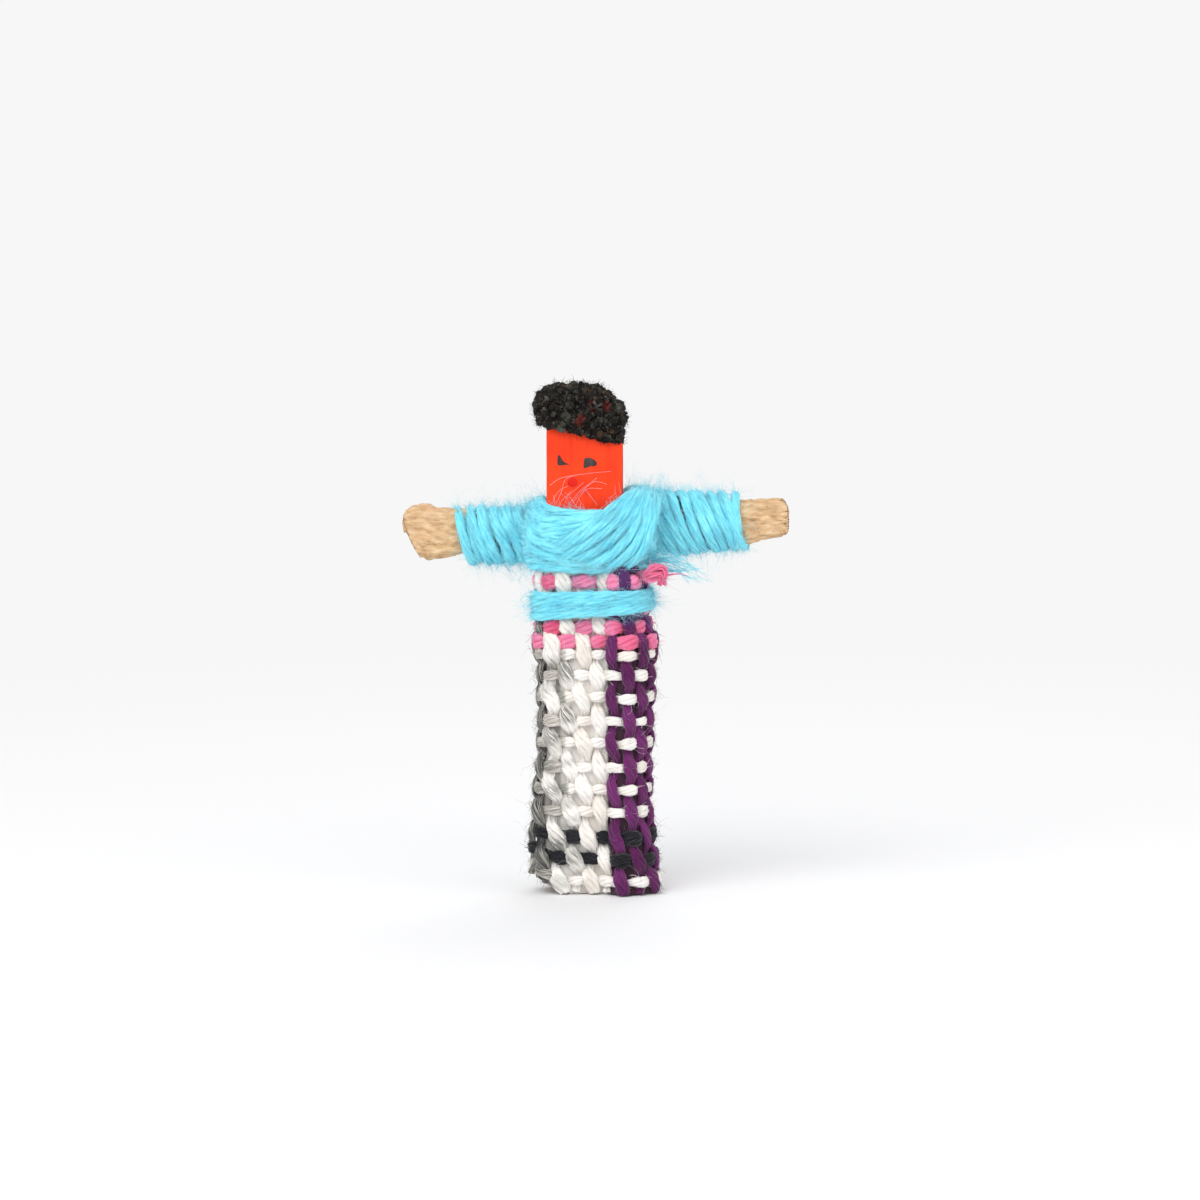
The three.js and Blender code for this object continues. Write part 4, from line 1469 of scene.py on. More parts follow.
@dataclass(frozen=True)
class Core:
    """The inner layers of yarn, as a rounded block that is wider to the right."""

    left: float = 2.92
    right: float = 3.38
    front: float = -1.3
    back: float = 2.85
    bottom: float = 16.8
    front_top: float = 19.6
    back_top: float = 20.5
    rings: int = 40
    sides: int = 72

    def place(self, share: float, turn: float, out: float = 0.0) -> Vector:
        """A place on the layers.

        Args:
            share: how far up, from 0 to 1.
            turn: the angle round them.
            out: how far off their surface.

        Returns:
            The place.
        """
        wide = 1 - 0.16 * abs(2 * share - 1) ** 3
        half = (self.right if math.cos(turn) > 0 else self.left) * wide + out
        behind = (boxy(math.sin(turn), 0.6) + 1) / 2
        z = lerp(self.bottom, lerp(self.front_top, self.back_top, behind), share)
        y = lerp(self.front - out, self.back + out, behind)
        return Vector((half * boxy(math.cos(turn), 0.6), y, z))


@dataclass
class Blouse:
    """The blue yarn: inner layers, two sleeves, two bundles that cross on the chest, and a belt.

    The lines on its front are given in steps of the front's grid, across and down.
    """

    arms: Arms
    tree: SpunYarnTree
    finishes: Finishes
    step: float = 0.14
    grid_step: float = 0.052
    grid_middle: tuple[int, int] = (597, 893)
    middle_x: float = 0.63
    middle_y: float = 0.9
    steps_a_turn: int = 160
    core: Core = Core()
    core_loops: int = 8
    core_steps_a_turn: int = 90
    left_sleeve: tuple[Winding, ...] = (
        Winding(-6.55, -2.1, 0.68, ((0, 1.36),), 1.24, lean=0.42, girth=1.02, drop=0.4),
        Winding(-6.2, -2.3, 0.78, ((0, 1.2),), 1.04, lean=0.25, girth=1.15, drop=0.38),
    )
    right_sleeve: tuple[Winding, ...] = (
        Winding(8.0, 2.7, 0.51, ((3, 1.62), (8, 1.38)), 1.24, lean=0.33, girth=0.88),
        Winding(7.9, 2.7, 0.63, ((3, 1.62), (8, 1.38)), 1.02, lean=0.2, girth=1.1, taken_off=0.2),
        Winding(7.8, 7.9, 0.1, ((0, 1.36),), 1.2, lean=-0.04, girth=0.85),
    )
    belt_turns: Table = ((15.54, 15.72), (15.18, 15.46), (14.82, 15.2), (14.46, 15.0))
    tails: int = 18
    stout_tails: int = 4
    over_depths: tuple[float, float] = (-1.72, 3.45)
    under_depths: tuple[float, float] = (-1.42, 3.2)
    side_depths: tuple[float, float] = (-1.22, 2.9)
    lowest_depths: tuple[float, float] = (-1.5, 2.4)
    lowest: Table = ((532, 563), (590, 566), (646, 562))
    over: tuple[Table, ...] = (
        ((534, 552), (560, 541), (585, 526), (601, 514), (617, 502), (632, 492)),
        ((533, 557), (560, 547), (590, 529), (612, 514), (627, 500), (637, 491)),
        ((535, 561), (565, 553), (595, 536), (617, 519), (632, 503), (642, 491)),
        ((543, 564), (575, 557), (603, 543), (623, 525), (637, 508), (646, 492)),
        ((560, 566), (590, 562), (613, 550), (630, 532), (642, 512), (650, 494)),
        ((584, 567), (607, 564), (626, 552), (639, 535), (648, 514), (653, 496)),
        ((608, 567), (628, 562), (642, 547), (650, 529), (655, 511), (657, 499)),
    )
    under: tuple[Table, ...] = (
        ((541, 501), (548, 507), (560, 510), (580, 512), (600, 517), (622, 531), (648, 553)),
        ((537, 503), (545, 514), (558, 518), (578, 521), (600, 526), (622, 541), (646, 558)),
        ((533, 506), (540, 521), (554, 526), (575, 531), (598, 537), (622, 550), (643, 562)),
        ((531, 508), (536, 526), (550, 534), (571, 541), (596, 550), (620, 560), (640, 565)),
        ((530, 514), (533, 535), (547, 543), (567, 551), (592, 560), (616, 565), (636, 567)),
        ((530, 524), (532, 545), (547, 553), (570, 560), (600, 565), (625, 567), (640, 567)),
    )
    side: tuple[Table, ...] = (
        ((535, 531), (592, 547), (648, 545)), ((535, 525), (596, 534), (652, 533)),
        ((537, 519), (600, 522), (655, 521)), ((540, 513), (604, 512), (657, 510)),
    )
    wisps: tuple[Table, ...] = (
        ((556, 503), (562, 490), (567, 477), (588, 472), (611, 470)),
        ((571, 504), (577, 496), (585, 487), (597, 476)),
        ((585, 487), (591, 495), (597, 503)),
        ((553, 502), (556, 494), (561, 488), (568, 485)),
        ((568, 505), (573, 498), (582, 488), (595, 480), (607, 483)),
        ((560, 504), (563, 498), (572, 491), (584, 481)),
        ((575, 506), (581, 494), (588, 487), (602, 487)),
        ((550, 484), (560, 477), (573, 474)),
    )

    def spin(
        self, name: str, strands: Sequence[Strand], nodes: Sequence[str], recipe: Spin = Spin()
    ) -> None:
        """Spins strands of blue yarn into a piece that replaces some nodes.

        Args:
            name: the piece's name, whose length is also the seed of its fibres.
            strands: its lines.
            nodes: the nodes that it replaces.
            recipe: how it is spun.
        """
        piece = lines_object(name, strands)
        recipe.into(self.tree, piece, self.finishes.blue, len(name))
        settle(piece, "blue_yarn", nodes)

    def around_arm(self, point: Vector, run: Vector) -> Vector:
        """Away from the arm's middle line."""
        return Vector((0, point.y - self.arms.middle_y, point.z - self.arms.spot(point.x, 0, 0).z))

    def sleeves(self) -> None:
        """Winds both sleeves."""
        recipe = Spin(nap=replace(YARN_NAP, density=15), stray=replace(YARN_STRAY, density=8))
        for name, node, windings in (
            ("left_sleeve", "left_sleeve_yarn", self.left_sleeve),
            ("right_sleeve", "right_sleeve_yarn", self.right_sleeve),
        ):
            self.spin(name, [
                strand(
                    winding.turns(self.arms), self.around_arm,
                    lambda s, girth=winding.girth: girth * (1 + 0.3 * grain(9 * s, girth, 0, 24)),
                )
                for winding in windings
            ], [node], recipe)

    def ring(self, front: Sequence[tuple[float, float]], near: float, far: float) -> list[Vector]:
        """One turn round the chest, along a line over its front and straight across its back.

        Args:
            front: places on the front from the left to the right, in steps of the front's grid.
            near: how far forward it lies.
            far: how far back it lies.

        Returns:
            Its points.
        """
        line = even(curved([self.on_front(*place) for place in front], 0.1), 0.05)
        last = len(line) - 1
        points = []
        for i in range(self.steps_a_turn + 1):
            turn = math.tau * i / self.steps_a_turn
            share = (1 - math.cos(turn)) / 2
            if turn <= math.pi:
                place = line[round(share * last)]
            else:
                place = line[0].lerp(line[last], share)
            deep = (1 - boxy(math.sin(turn), 0.55)) / 2
            points.append(Vector((place.x, lerp(near, far, deep), place.z)))
        return even(self.relaxed(points), self.step)

    @staticmethod
    def relaxed(points: Sequence[Vector]) -> list[Vector]:
        """The closed line with its corners eased.

        Args:
            points: the line.

        Returns:
            Its new points.
        """
        for _ in range(3):
            points = [
                (points[i - 1 if i else -2] + 2 * point + points[(i + 1) % len(points)]) / 4
                for i, point in enumerate(points)
            ]
        return points

    def on_front(self, across: float, down: float) -> Vector:
        """A place on the front, from steps of its grid."""
        middle, foot = self.grid_middle
        return Vector(((across - middle) * self.grid_step + self.middle_x, 0, (foot - down) * self.grid_step))

    def outward(self, point: Vector, run: Vector) -> Vector:
        """Away from the middle of the crossing."""
        return Vector((point.x * 0.5, point.y - self.middle_y, 0.0))

    def chest(self) -> None:
        """Winds the two bundles that cross on the chest."""
        near, far = self.over_depths
        over = [self.ring(line, near - 0.05 * (i % 3), far) for i, line in enumerate(self.over)]
        near, far = self.under_depths
        under = [self.ring(line, near - 0.03 * i, far) for i, line in enumerate(self.under)]
        for name, node, turns in (
            ("chest_over_strands", "chest_over_wrap", over),
            ("chest_under_strands", "chest_under_wrap", under),
        ):
            self.spin(name, [
                strand(turn, self.outward, lambda s, i=i: 0.98 + 0.2 * grain(7 * s, 3.1 * i, 0, 25))
                for i, turn in enumerate(turns)
            ], [node])

    def chest_base(self) -> None:
        """Winds the lowest turns with their frayed tail, and the rings that close the right side."""
        raised = [(across, down - 6) for across, down in self.lowest]
        base = [strand(self.ring(line, *self.lowest_depths), self.outward) for line in (raised, self.lowest)]
        base += [strand(self.ring(line, *self.side_depths), self.outward) for line in self.side]
        dice = random.Random(5)
        for i in range(self.tails):
            first = self.on_front(dice.uniform(645, 655), dice.uniform(549, 562))
            middle = self.on_front(dice.uniform(664, 680), dice.uniform(554, 570))
            last = self.on_front(dice.uniform(684, 708), dice.uniform(562, 582))
            tail = curved([
                Vector((first.x, -0.9, first.z)), Vector((middle.x, dice.uniform(-1.5, -0.7), middle.z)),
                Vector((last.x, dice.uniform(-1.7, -0.4), last.z)),
            ], self.step)
            thick = 0.22 if i < self.stout_tails else 0.07
            base.append(strand(
                tail, lambda p, run: UP.copy(), lambda s, thick=thick: thick * (1 - s) + 0.03))
        self.spin("chest_base_strands", base, ["chest_lower_wrap"])

    def face_wisps(self) -> None:
        """Lays the thin fibres that cross the chin."""
        wisps = []
        for line in self.wisps:
            places = [self.on_front(*place) for place in line]
            points = [Vector((p.x, -0.98 - 0.1 * math.sin(p.x * 3), p.z)) for p in curved(places, 0.1)]
            wisps.append(strand(points, lambda p, run: Vector((0, -1, 0)), lambda s: 0.018))
            wisps[-1].pale = 0.5
        bare = Fibres(0, 1, 0.01, 0, 0, 0)
        self.spin("face_wisps", wisps, ["chest_lower_wrap"], Spin(nap=bare, stray=bare))

    def inner(self) -> None:
        """The inner layers of yarn that fill the crossing, with their outer turns."""
        core = self.core
        rings = [
            [core.place(i / core.rings, math.tau * j / core.sides) for j in range(core.sides)]
            for i in range(core.rings + 1)
        ]
        settle(skin("inner_yarn_layers", rings, self.finishes.blue), "blue_yarn", ["chest_inner_yarn"])
        count = self.core_loops * self.core_steps_a_turn
        turns = [
            core.place(0.02 + 0.97 * i / count, math.tau * self.core_loops * i / count, 0.14)
            for i in range(count + 1)
        ]
        turns = [p + Vector((0, 0, 0.1 * grain(p.x * 0.6, p.y * 0.6, p.z * 2, 27))) for p in turns]
        recipe = Spin(
            plies=3, ply_radius=0.16, nap=replace(YARN_NAP, density=9, lift=0.1, curl=0.3),
            stray=replace(YARN_STRAY, density=3),
        )
        lines = [strand(even(turns, self.step), self.outward)]
        self.spin("inner_yarn_turns", lines, ["chest_inner_yarn"], recipe)

    def belt(self, cloth: "Skirt") -> None:
        """Binds the waist.

        Args:
            cloth: the skirt that it lies on.
        """
        strands = []
        for number, (left, right) in enumerate(self.belt_turns):
            outline = cloth.hull((left + right) / 2, 0.11 + 0.05 * (number % 2))
            points = [
                Vector((p.x, p.y, lerp(left, right, (p.x + 2.9) / 5.9) + 0.04 * grain(p.x, p.y, number)))
                for p in outline
            ]
            strands.append(strand(
                even(points, self.step), lambda p, run: Vector((p.x * 0.5, p.y, 0)),
                lambda s, i=number: 0.96 + 0.2 * grain(6 * s, 2.3 * i, 0, 26)))
        self.spin("belt_strands", strands, ["belt_yarn"])

    def build(self, cloth: "Skirt") -> None:
        """Makes all the blue yarn.

        Args:
            cloth: the skirt that the belt lies on.
        """
        self.inner()
        self.sleeves()
        self.chest()
        self.chest_base()
        self.face_wisps()
        self.belt(cloth)


class Stripe(Enum):
    """The kinds of lengthwise thread, each with its places in the stripes' repeat."""

    CHARCOAL = (0, 22, 23)
    FAINT_MARL = (1,)
    SHORT_MARL = (2,)
    LONG_MARL = (14, 15)
    PURPLE = (5, 6, 7, 8, 9)
    PINK = (10, 11)
    WHITE = ()

    @staticmethod
    def of(column: int) -> "Stripe":
        """The kind of a column."""
        place = column % STRIPE_REPEAT
        return next((stripe for stripe in Stripe if place in stripe.value), Stripe.WHITE)


@dataclass(frozen=True)
class Row:
    """One crosswise thread of the cloth: its height, its dye, and which columns it passes over."""

    z: float
    dye: Dye
    parity: int


@dataclass
class Skirt:
    """A strip of coarse plain-woven cloth that is rolled one and a half times round the stick."""

    half: float = 1.85
    stick_half_depth: float = 0.7
    cloth: float = 0.6
    gap: float = 0.06
    length: float = 17.1
    overlap: float = 0.55
    pitch: float = 0.8
    crimp: float = 0.17
    hem_rise: float = 1.0
    hem_rise_start: float = -1.14
    middle_column: int = 3
    middle_x: float = -0.15
    middle_z: float = 8.0
    waist: float = 15.5
    purple_top: float = 14.0
    charcoal_top: float = 15.0
    marl_top: float = 13.0
    marl_fade: float = 13.2
    column_step: float = 0.14
    row_step: float = 0.15
    hull_steps: int = 180
    ground_front: float = -0.1
    ground_back: float = -0.26
    ground_count: int = 150
    ground_levels: int = 34
    wander: Table = ((0, 0.55), (2, 0.42), (4, 0.2), (8, 0.06), (12, 0.0), (15, 0.1), (17, 0.2))
    stations: tuple[tuple[float, float, float, float], ...] = (
        (0.0, 0.47, 1.0, 1.0), (1.48, 0.45, 0.72, 1.0), (4.7, 0.3, 0.38, 1.0),
        (7.53, 0.02, 0.42, 1.0), (11.83, 0.02, 0.58, 1.0), (13.45, 0.26, 0.64, 1.0),
        (14.0, 0.1, 0.45, 0.8), (15.96, 0.1, 0.3, 0.8), (16.26, 0.14, 0.18, 0.92),
        (17.1, 0.14, 0.18, 0.92),
    )
    rows: tuple[Row, ...] = (
        Row(16.28, Dye.PINK, 1), Row(14.95, Dye.PINK, 0), Row(13.96, Dye.PINK, 1),
        Row(13.2, Dye.PINK, 0), Row(12.52, Dye.WHITE, 0), Row(11.46, Dye.WHITE, 1),
        Row(10.32, Dye.WHITE, 0), Row(9.09, Dye.WHITE, 1), Row(7.95, Dye.WHITE, 0),
        Row(6.68, Dye.WHITE, 1), Row(5.52, Dye.WHITE, 0), Row(4.38, Dye.WHITE, 1),
        Row(3.02, Dye.BLACK, 0), Row(1.86, Dye.BLACK, 1), Row(0.72, Dye.WHITE, 0),
    )
    nudges: dict[int, tuple[float, float]] = field(default_factory=lambda: {
        0: (0.1, 0.0), 1: (0.0, -0.22), 2: (0.0, -0.31), 4: (0.04, 0.28), 5: (0.15, 0.05),
        6: (0.2, -0.12), 7: (0.08, -0.3),
    })

    def station(self, z: float) -> Triple:
        """The flare to the left and right, and the squeeze, at a height."""
        return tuple(along_table([(row[0], row[k]) for row in self.stations], z) for k in (1, 2, 3))

    def route(self, z: float) -> list[Vector]:
        """The rolled cloth's middle line at a height, from its start to its end.

        Args:
            z: the height.

        Returns:
            The line's points.
        """
        left, right, squeeze = self.station(z)
        thick = self.cloth * squeeze
        inner = self.gap + thick / 2
        outer = inner + thick + self.gap
        quarter = math.pi / 2
        over = self.half * (1 - self.overlap)

        def corner(middle: float, layer: float, out: float, start: float, end: float) -> list[Vector]:
            """A turn round one edge of the stick.

            Args:
                middle: the edge's place across.
                layer: how far off the stick it lies.
                out: the flare.
                start: its first angle.
                end: its last angle.

            Returns:
                Its points.
            """
            wide, deep = layer + out, self.stick_half_depth + layer
            angles = [lerp(start, end, i / 12) for i in range(13)]
            return [Vector((middle + wide * math.cos(a), deep * math.sin(a), z)) for a in angles]

        def flat(start: float, end: float, layer: float, other: float, side: float) -> list[Vector]:
            """A flat run behind the stick (side 1) or before it (-1), from one layer to the other."""
            depths = [self.stick_half_depth + lerp(layer, other, smooth(i / 10)) for i in range(1, 10)]
            return [Vector((lerp(start, end, i / 10), side * d, z)) for i, d in enumerate(depths, 1)]

        return [
            *corner(self.half, inner, 0, -quarter, quarter),
            *flat(self.half, -self.half, inner, inner, 1),
            *corner(-self.half, inner, left, quarter, 3 * quarter),
            *flat(-self.half, over, inner, inner, -1),
            Vector((over, -self.stick_half_depth - inner, z)),
            *flat(over, self.half, inner, outer, -1),
            *corner(self.half, outer, right, -quarter, quarter),
            *flat(self.half, -self.half, outer, outer, 1),
            Vector((-self.half, self.stick_half_depth + outer, z)),
        ]

    def hull(self, z: float, offset: float) -> list[Vector]:
        """A closed loop that rests on the cloth.

        Args:
            z: the height.
            offset: how far off the cloth's face it lies.

        Returns:
            The loop's points.
        """
        squeeze = self.station(z)[2]
        line = self.route(z)
        loop = []
        for i in range(self.hull_steps + 1):
            facing = math.tau * i / self.hull_steps + math.pi / 2
            out = Vector((math.cos(facing), math.sin(facing), 0))
            rest = max(line, key=lambda point: point.dot(out))
            loop.append(rest + out * (self.cloth * squeeze / 2 + offset))
        return loop

    def prepare(self) -> None:
        """Works out the measures that the threads share, at the middle of the skirt's height."""
        line = self.route(self.middle_z)
        self.lengths = [0.0]
        for a, b in zip(line, line[1:]):
            self.lengths.append(self.lengths[-1] + (b - a).length)
        start = next(
            i for i, (a, b) in enumerate(zip(line, line[1:]))
            if a.y < 0 and a.x < self.middle_x <= b.x and b.x > a.x and i > 20
        )
        share = (self.middle_x - line[start].x) / (line[start + 1].x - line[start].x)
        self.origin = lerp(self.lengths[start], self.lengths[start + 1], share)
        self.levels = {}

    def level(self, z: float) -> list[Vector]:
        """The route at a height, kept for the next time.

        Args:
            z: the height.

        Returns:
            The route's points.
        """
        key = round(z, 2)
        if key not in self.levels:
            self.levels[key] = self.route(key)
        return self.levels[key]

    def spot(self, along: float, z: float, out: float = 0.0) -> tuple[Vector, Vector]:
        """A place on the cloth and the way out there.

        Args:
            along: how far along the cloth, from its start.
            z: the height.
            out: how far outside the cloth's middle.

        Returns:
            The point, and its outward direction.
        """
        line = self.level(z)
        along = min(max(along, 0.0), self.lengths[-1] - 1e-4)
        i = max(k for k, length in enumerate(self.lengths) if length <= along)
        share = (along - self.lengths[i]) / (self.lengths[i + 1] - self.lengths[i])
        run = (line[i + 1] - line[i]).normalized()
        before = (line[i] - line[max(i - 1, 0)]).normalized() if i else run
        after = (line[min(i + 2, len(line) - 1)] - line[i + 1])
        after = after.normalized() if after.length > 0 else run
        turned = lerp(before + run, run + after, share).normalized()
        outward = Vector((turned.y, -turned.x, 0))
        return line[i].lerp(line[i + 1], share) + outward * out, outward

    def hem(self, x: float) -> float:
        """The height of the cut lower edge.

        Args:
            x: a place across.

        Returns:
            The height there.
        """
        edge = -self.half - self.cloth - self.gap - self.stations[0][1]
        share = (self.hem_rise_start - x) / (self.hem_rise_start - edge)
        return self.hem_rise * min(max(share, 0.0), 1.0)

    def drift(self, z: float) -> float:
        """How far the columns wander to the right."""
        return along_table(self.wander, z)

    def column_dye(self, column: int, z: float) -> Colour:
        """The colour of a lengthwise thread at a height.

        Args:
            column: its number.
            z: the height.

        Returns:
            The colour.
        """
        spot = grain(column * 3.1, z * 0.9, 0, 31)
        marl = 0.45 + 1.0 * grain(column * 5.3, z * 2.2, 1, 32)
        patch = smooth(0.15 + 1.9 * grain(column * 4.7, z * 1.5, 2, 39))
        stripe = Stripe.of(column)
        if stripe is Stripe.PURPLE:
            if z > self.purple_top:
                return Dye.PURPLE.towards(Dye.INDIGO, 0.6)
            return Dye.PURPLE.towards(Dye.PLUM, smooth(0.5 + spot))
        if stripe is Stripe.CHARCOAL and z < self.charcoal_top:
            return blend_colours(Dye.SOOT.linear(), Dye.GREY.linear(0.75), smooth(marl - 0.1))
        is_short = stripe in (Stripe.FAINT_MARL, Stripe.SHORT_MARL)
        if stripe is Stripe.LONG_MARL or (is_short and z < self.marl_top):
            share = 0.35 if stripe is Stripe.FAINT_MARL else 0.6
            return Dye.WHITE.towards(Dye.GREY, patch * share)
        if stripe is Stripe.PINK:
            return Dye.PINK.towards(Dye.ROSE, smooth(marl))
        return Dye.WHITE.towards(Dye.PALE, smooth(0.4 + spot))

    def column_marl(self, column: int, z: float) -> float:
        """How much black and pale fibre is mixed into a lengthwise thread at a height.

        Args:
            column: its number.
            z: the height.

        Returns:
            The share.
        """
        stripe = Stripe.of(column)
        if stripe is Stripe.CHARCOAL:
            return 0.4 * smooth(self.charcoal_top - z)
        if stripe in (Stripe.FAINT_MARL, Stripe.SHORT_MARL, Stripe.LONG_MARL):
            patch = smooth(0.1 + 2.4 * grain(column * 4.7, z * 1.1, 5, 39))
            return 0.75 * smooth(self.marl_fade - z) * patch
        return 0.0

    @staticmethod
    def is_dark(column: int) -> bool:
        """Whether a column is of a dark thread."""
        return Stripe.of(column) in (Stripe.CHARCOAL, Stripe.PURPLE, Stripe.PINK)

    def column_place(self, column: int, z: float) -> float:
        """Where along the cloth a column lies at a height.

        Args:
            column: its number.
            z: the height.

        Returns:
            The length from the cloth's start.
        """
        low, high = self.nudges.get(column, (0.0, 0.0))
        nudge = lerp(low, high, smooth((z - 14.2) / 1.4))
        return self.origin + self.pitch * (column - self.middle_column) + nudge + self.drift(z)

    def column_near(self, along: float, z: float) -> float:
        """The column at a place along the cloth, with a share for places between two."""
        guess = math.floor((along - self.drift(z) - self.origin) / self.pitch) + self.middle_column
        return along_table([(self.column_place(c, z), c) for c in range(guess - 1, guess + 4)], along)

    def row_dye(self, row: Row, along: float, column: float) -> Colour:
        """The colour of a crosswise thread at a place.

        Args:
            row: the thread.
            along: the place along the cloth.
            column: the column there.

        Returns:
            The colour.
        """
        spot = grain(row.z * 2.7, along * 0.8, 0, 33)
        if row.dye is Dye.WHITE and -1.5 < column < 1.9:
            return Dye.PALE.towards(Dye.GREY, smooth(0.35 + 1.5 * spot))
        if row.dye is Dye.PINK:
            rosy = 0.0 if row.z > self.waist else 0.4
            return blend_colours(Dye.PINK.linear(1.05), Dye.ROSE.linear(), smooth(rosy + 1.1 * spot))
        if row.dye is Dye.BLACK:
            return Dye.BLACK.towards(Dye.SOOT, smooth(0.1 + spot))
        return Dye.WHITE.towards(Dye.PALE, smooth(0.3 + spot))

    def first_seen(self) -> float:
        """Where along the cloth its face first shows, behind the left edge.

        Returns:
            The length from the cloth's start.
        """
        start = self.level(self.middle_z)
        index = next(i for i, p in enumerate(start) if i > 13 and p.x < -self.half * 0.6 and p.y > 0)
        return self.lengths[index]

    def column_strand(self, column: int) -> Strand:
        """A lengthwise thread that passes over and under the rows.

        Args:
            column: its number.

        Returns:
            Its line.
        """
        heights = [self.length + 0.5, *[row.z for row in self.rows], -0.6]
        states = [1 if (column + row.parity) % 2 else -1 for row in self.rows]
        states = [-states[0], *states, -states[-1]]
        thread = Strand()
        dark = self.is_dark(column)
        lean = (0.07 if dark else 0.15) + 0.08 * grain(column * 2.7, 0, 0, 34)
        z = self.length - 0.02
        while True:
            k = next(i for i in range(len(heights) - 1) if heights[i + 1] <= z)
            share = (heights[k] - z) / (heights[k] - heights[k + 1])
            wave = lerp(states[k], states[k + 1], (1 - math.cos(math.pi * share)) / 2)
            shift = math.sin(math.pi * share) * (states[k] - states[k + 1]) / 2
            sway = lean * shift + (0.08 if dark else 0.17) * grain(column * 1.9, z * 0.7, 0, 35)
            point, outward = self.spot(self.column_place(column, z) + sway, z, self.crimp * boxy(wave, 0.6))
            if z <= self.hem(point.x) + 0.03:
                break
            stout = 0.97 if dark else 1.18 + 0.16 * smooth(z - self.waist)
            uneven = grain(column * 4.1, z * 1.1, 0, 36)
            girth = stout * (0.96 + 0.2 * wave + (0.34 if z < self.waist else 0.1) * uneven)
            thread.add(point, outward, girth, self.column_dye(column, z), self.column_marl(column, z))
            z -= self.column_step
        return thread

    def row_strand(self, row: Row, start: float, end: float) -> Strand:
        """A crosswise thread that passes over and under the columns.

        Args:
            row: the thread.
            start: where it starts along the cloth.
            end: where it ends.

        Returns:
            Its line.
        """
        thread = Strand()
        stout = {Dye.PINK: 1.24, Dye.BLACK: 1.08}.get(row.dye, 0.88)
        along = start
        while along < end:
            column = self.column_near(along, row.z)
            wave = math.cos(math.pi * (column + row.parity))
            place, _ = self.spot(along, row.z)
            lift = self.hem(place.x) * max(0.0, 1 - row.z / 5)
            z = row.z + lift + 0.08 * grain(along * 0.9, row.z, 0, 37) + 0.03 * wave
            point, outward = self.spot(along, min(z, self.length - 0.1), self.crimp * boxy(wave, 0.6))
            girth = stout * (0.97 + 0.12 * wave + 0.34 * grain(along * 1.3, row.z, 0, 38))
            marl = 0.0
            if row.dye is Dye.WHITE:
                marl = 0.5 * smooth(1.9 - column) * smooth(column + 3.0)
            thread.add(point, outward, girth, self.row_dye(row, along, column), marl)
            along += self.row_step
        return thread

    def shade_sheet(self, finishes: Finishes) -> Piece:
        """A thin rolled sheet behind the cloth's threads, whose colour is painted shade: its columns' dyes
        darkened, to show in the gaps between the threads.

        Args:
            finishes: the doll's materials.

        Returns:
            The piece.
        """
        alongs = [self.lengths[-1] * i / self.ground_count for i in range(self.ground_count + 1)]
        rings = []
        for along in alongs:
            foot, _ = self.spot(along, 0.0)
            low = self.hem(foot.x) + 0.05
            shares = [level / self.ground_levels for level in range(self.ground_levels + 1)]
            heights = [lerp(low, self.length - 0.06, share) for share in shares]
            ring = [self.spot(along, z, self.ground_front)[0] for z in heights]
            ring += [self.spot(along, z, self.ground_back)[0] for z in reversed(heights)]
            rings.append(ring)
        cloth = skin("skirt_shade_sheet", rings, finishes.cotton)
        dye = cloth.data.attributes.new("dye", "FLOAT_COLOR", "POINT")
        numbers = []
        for along, ring in zip(alongs, rings):
            column = round(self.column_near(along, self.middle_z))
            # Painted shade in the gaps between threads: the sheet takes its column's dye darkened towards
            # SHADOW, by 0.85 under dark columns, 0.6 under the left columns and 0.14 elsewhere.
            shade = 0.85 if self.is_dark(column) else 0.6 if column < 2 else 0.14
            for point in ring:
                numbers += blend_colours(self.column_dye(column, point.z), SHADOW, shade)
        dye.data.foreach_set("color", numbers)
        return cloth

    def build(self, finishes: Finishes, tree: SpunYarnTree) -> None:
        """Weaves the cloth.

        Args:
            finishes: the doll's materials.
            tree: the tree that spins its threads.
        """
        self.prepare()
        total = self.lengths[-1]
        start = self.first_seen()
        first = math.ceil((start - self.origin) / self.pitch) + self.middle_column
        last = math.floor((total - 0.45 - self.origin) / self.pitch) + self.middle_column
        columns = [self.column_strand(column) for column in range(first, last + 1)]
        rows = [self.row_strand(row, start - 0.3, total - 0.05) for row in self.rows]
        recipe = Spin(
            plies=5, ply_radius=0.13, across=0.19, out=0.06, twist=2.0, sides=5, unevenness=0.6,
            nap=Fibres(13, 0.8, 0.01, 0.14, 0.36, 0.4), stray=Fibres(0.8, 1.4, 0.006, 0.5, 0.8, 2.0),
        )
        half = len(columns) // 2
        threads = [
            recipe.into(tree, lines_object(name, strands), finishes.cotton, number)
            for number, (name, strands) in enumerate([
                ("skirt_weft", rows), ("skirt_warp_left", columns[:half]),
                ("skirt_warp_right", columns[half:]),
            ])
        ]
        cloth = self.shade_sheet(finishes)
        for piece in threads:
            keep_above_floor(piece)
            settle(piece, "woven_cotton")
        settle(cloth, "woven_cotton", ["skirt_cloth"])


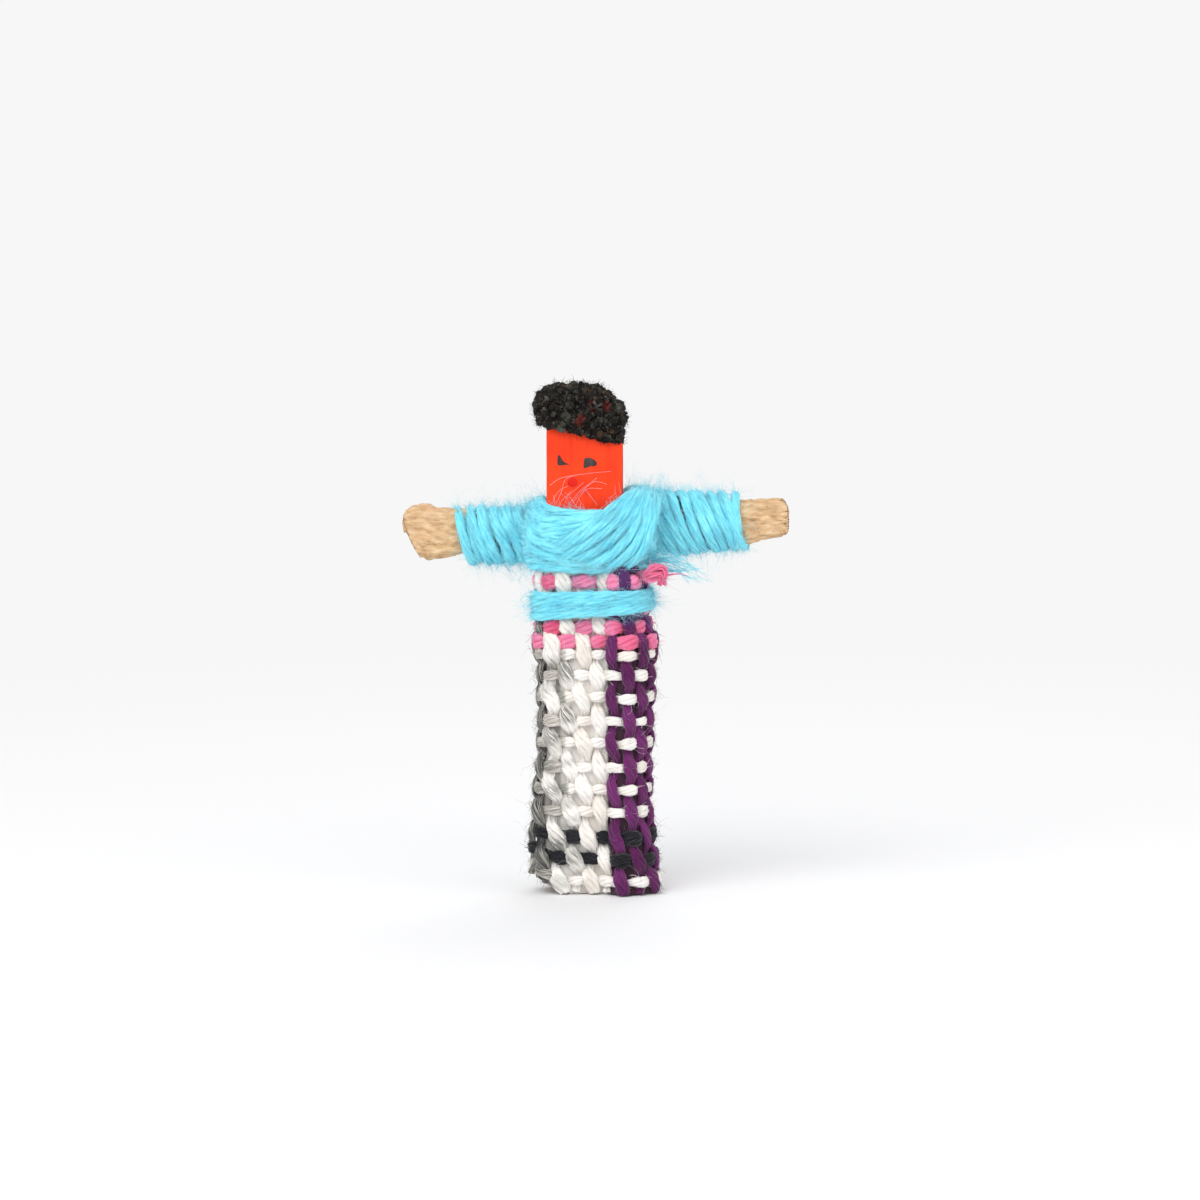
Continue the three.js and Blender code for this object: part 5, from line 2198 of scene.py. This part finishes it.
@dataclass
class Tuft:
    """The frayed ends of the pink weft, which stand out at the waist on the right."""

    root: Triple = (2.95, -1.6, 16.6)
    reach: float = 1.25
    height: float = 0.34
    ends: int = 12
    step: float = 0.1
    wisp: tuple[Triple, ...] = ((1.3, 0, 0.1), (1.8, 0, 0.16), (2.4, 0.1, 0.06))

    def build(self, finishes: Finishes, tree: SpunYarnTree) -> None:
        """Makes the tuft, whose ends curl back, and the thin wisp that leaves it.

        Args:
            finishes: the doll's materials.
            tree: the tree that spins its threads.
        """
        dice = random.Random(12)
        root = Vector(self.root)
        strands = []
        half = (self.ends - 1) / 2
        for i in range(self.ends):
            spread = (i - half) / half
            deep = dice.uniform(-0.45, 0.5)
            reach = self.reach * dice.uniform(0.62, 1.08)
            up = self.height * spread + 0.16 + dice.uniform(-0.1, 0.1)
            hang = dice.uniform(0.16, 0.46)
            points = curved([root + Vector(place) for place in (
                (-0.3, 0.3, 0.1 * spread), (0.15, 0.0, 0.4 * up),
                (0.5 * reach, deep * 0.7 - 0.1, up), (0.86 * reach, deep, up + 0.08),
                (reach, deep + 0.08, up - 0.4 * hang), (0.96 * reach, deep + 0.14, up - hang),
            )], self.step)
            tone = blend_colours(Dye.PINK.linear(1.15), Dye.ROSE.linear(), dice.random())
            # Painted shade: each end's colour runs from plum at its root to its pink, for the shade where the
            # ends bunch at the waist.
            strands.append(strand(
                points, lambda p, run: Vector((0, -1, 0.3)), lambda s: 0.9 + 0.2 * math.sin(3 * s),
                lambda s, tone=tone: blend_colours(Dye.PLUM.linear(), tone, smooth(0.1 + 2.2 * s)),
            ))
        wisp = curved([root + Vector(place) for place in self.wisp], self.step)
        strands.append(strand(
            wisp, lambda p, run: UP.copy(), lambda s: 0.5 * (1 - s) + 0.05, lambda s: Dye.PINK.linear()))
        piece = lines_object("pink_tuft", strands)
        recipe = Spin(
            plies=3, ply_radius=0.065, across=0.085, out=0.06, twist=2.6, sides=6,
            nap=Fibres(12, 0.6, 0.009, 0.2, 0.4, 0.4), stray=Fibres(6, 1.0, 0.007, 0.5, 0.8, 1.4),
        )
        settle(recipe.into(tree, piece, finishes.cotton, 5), "pink_cotton", ["weft_tuft"])


@dataclass
class BodyStick:
    """The upright splint, of which only the foot shows, inside the hem."""

    def dress(self, finishes: Finishes) -> None:
        """Gives the stick its wood.

        Args:
            finishes: the doll's materials.
        """
        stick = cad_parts["body_stick"]
        stick.data.materials.clear()
        stick.data.materials.append(finishes.upright_wood)
        LOG.info("body_stick: dressed as bare wood")


def main() -> None:
    """Builds the doll and its surroundings."""
    logging.basicConfig(level=logging.INFO, format="%(name)s: %(message)s")
    Studio().build()
    finishes = Finishes()
    tree = SpunYarnTree()
    BodyStick().dress(finishes)
    arms = Arms()
    arms.build(finishes)
    Head().build(finishes)
    Hair().build(finishes)
    skirt = Skirt()
    skirt.build(finishes, tree)
    Blouse(arms, tree, finishes).build(skirt)
    Tuft().build(finishes, tree)


if __name__ == "__main__":
    main()
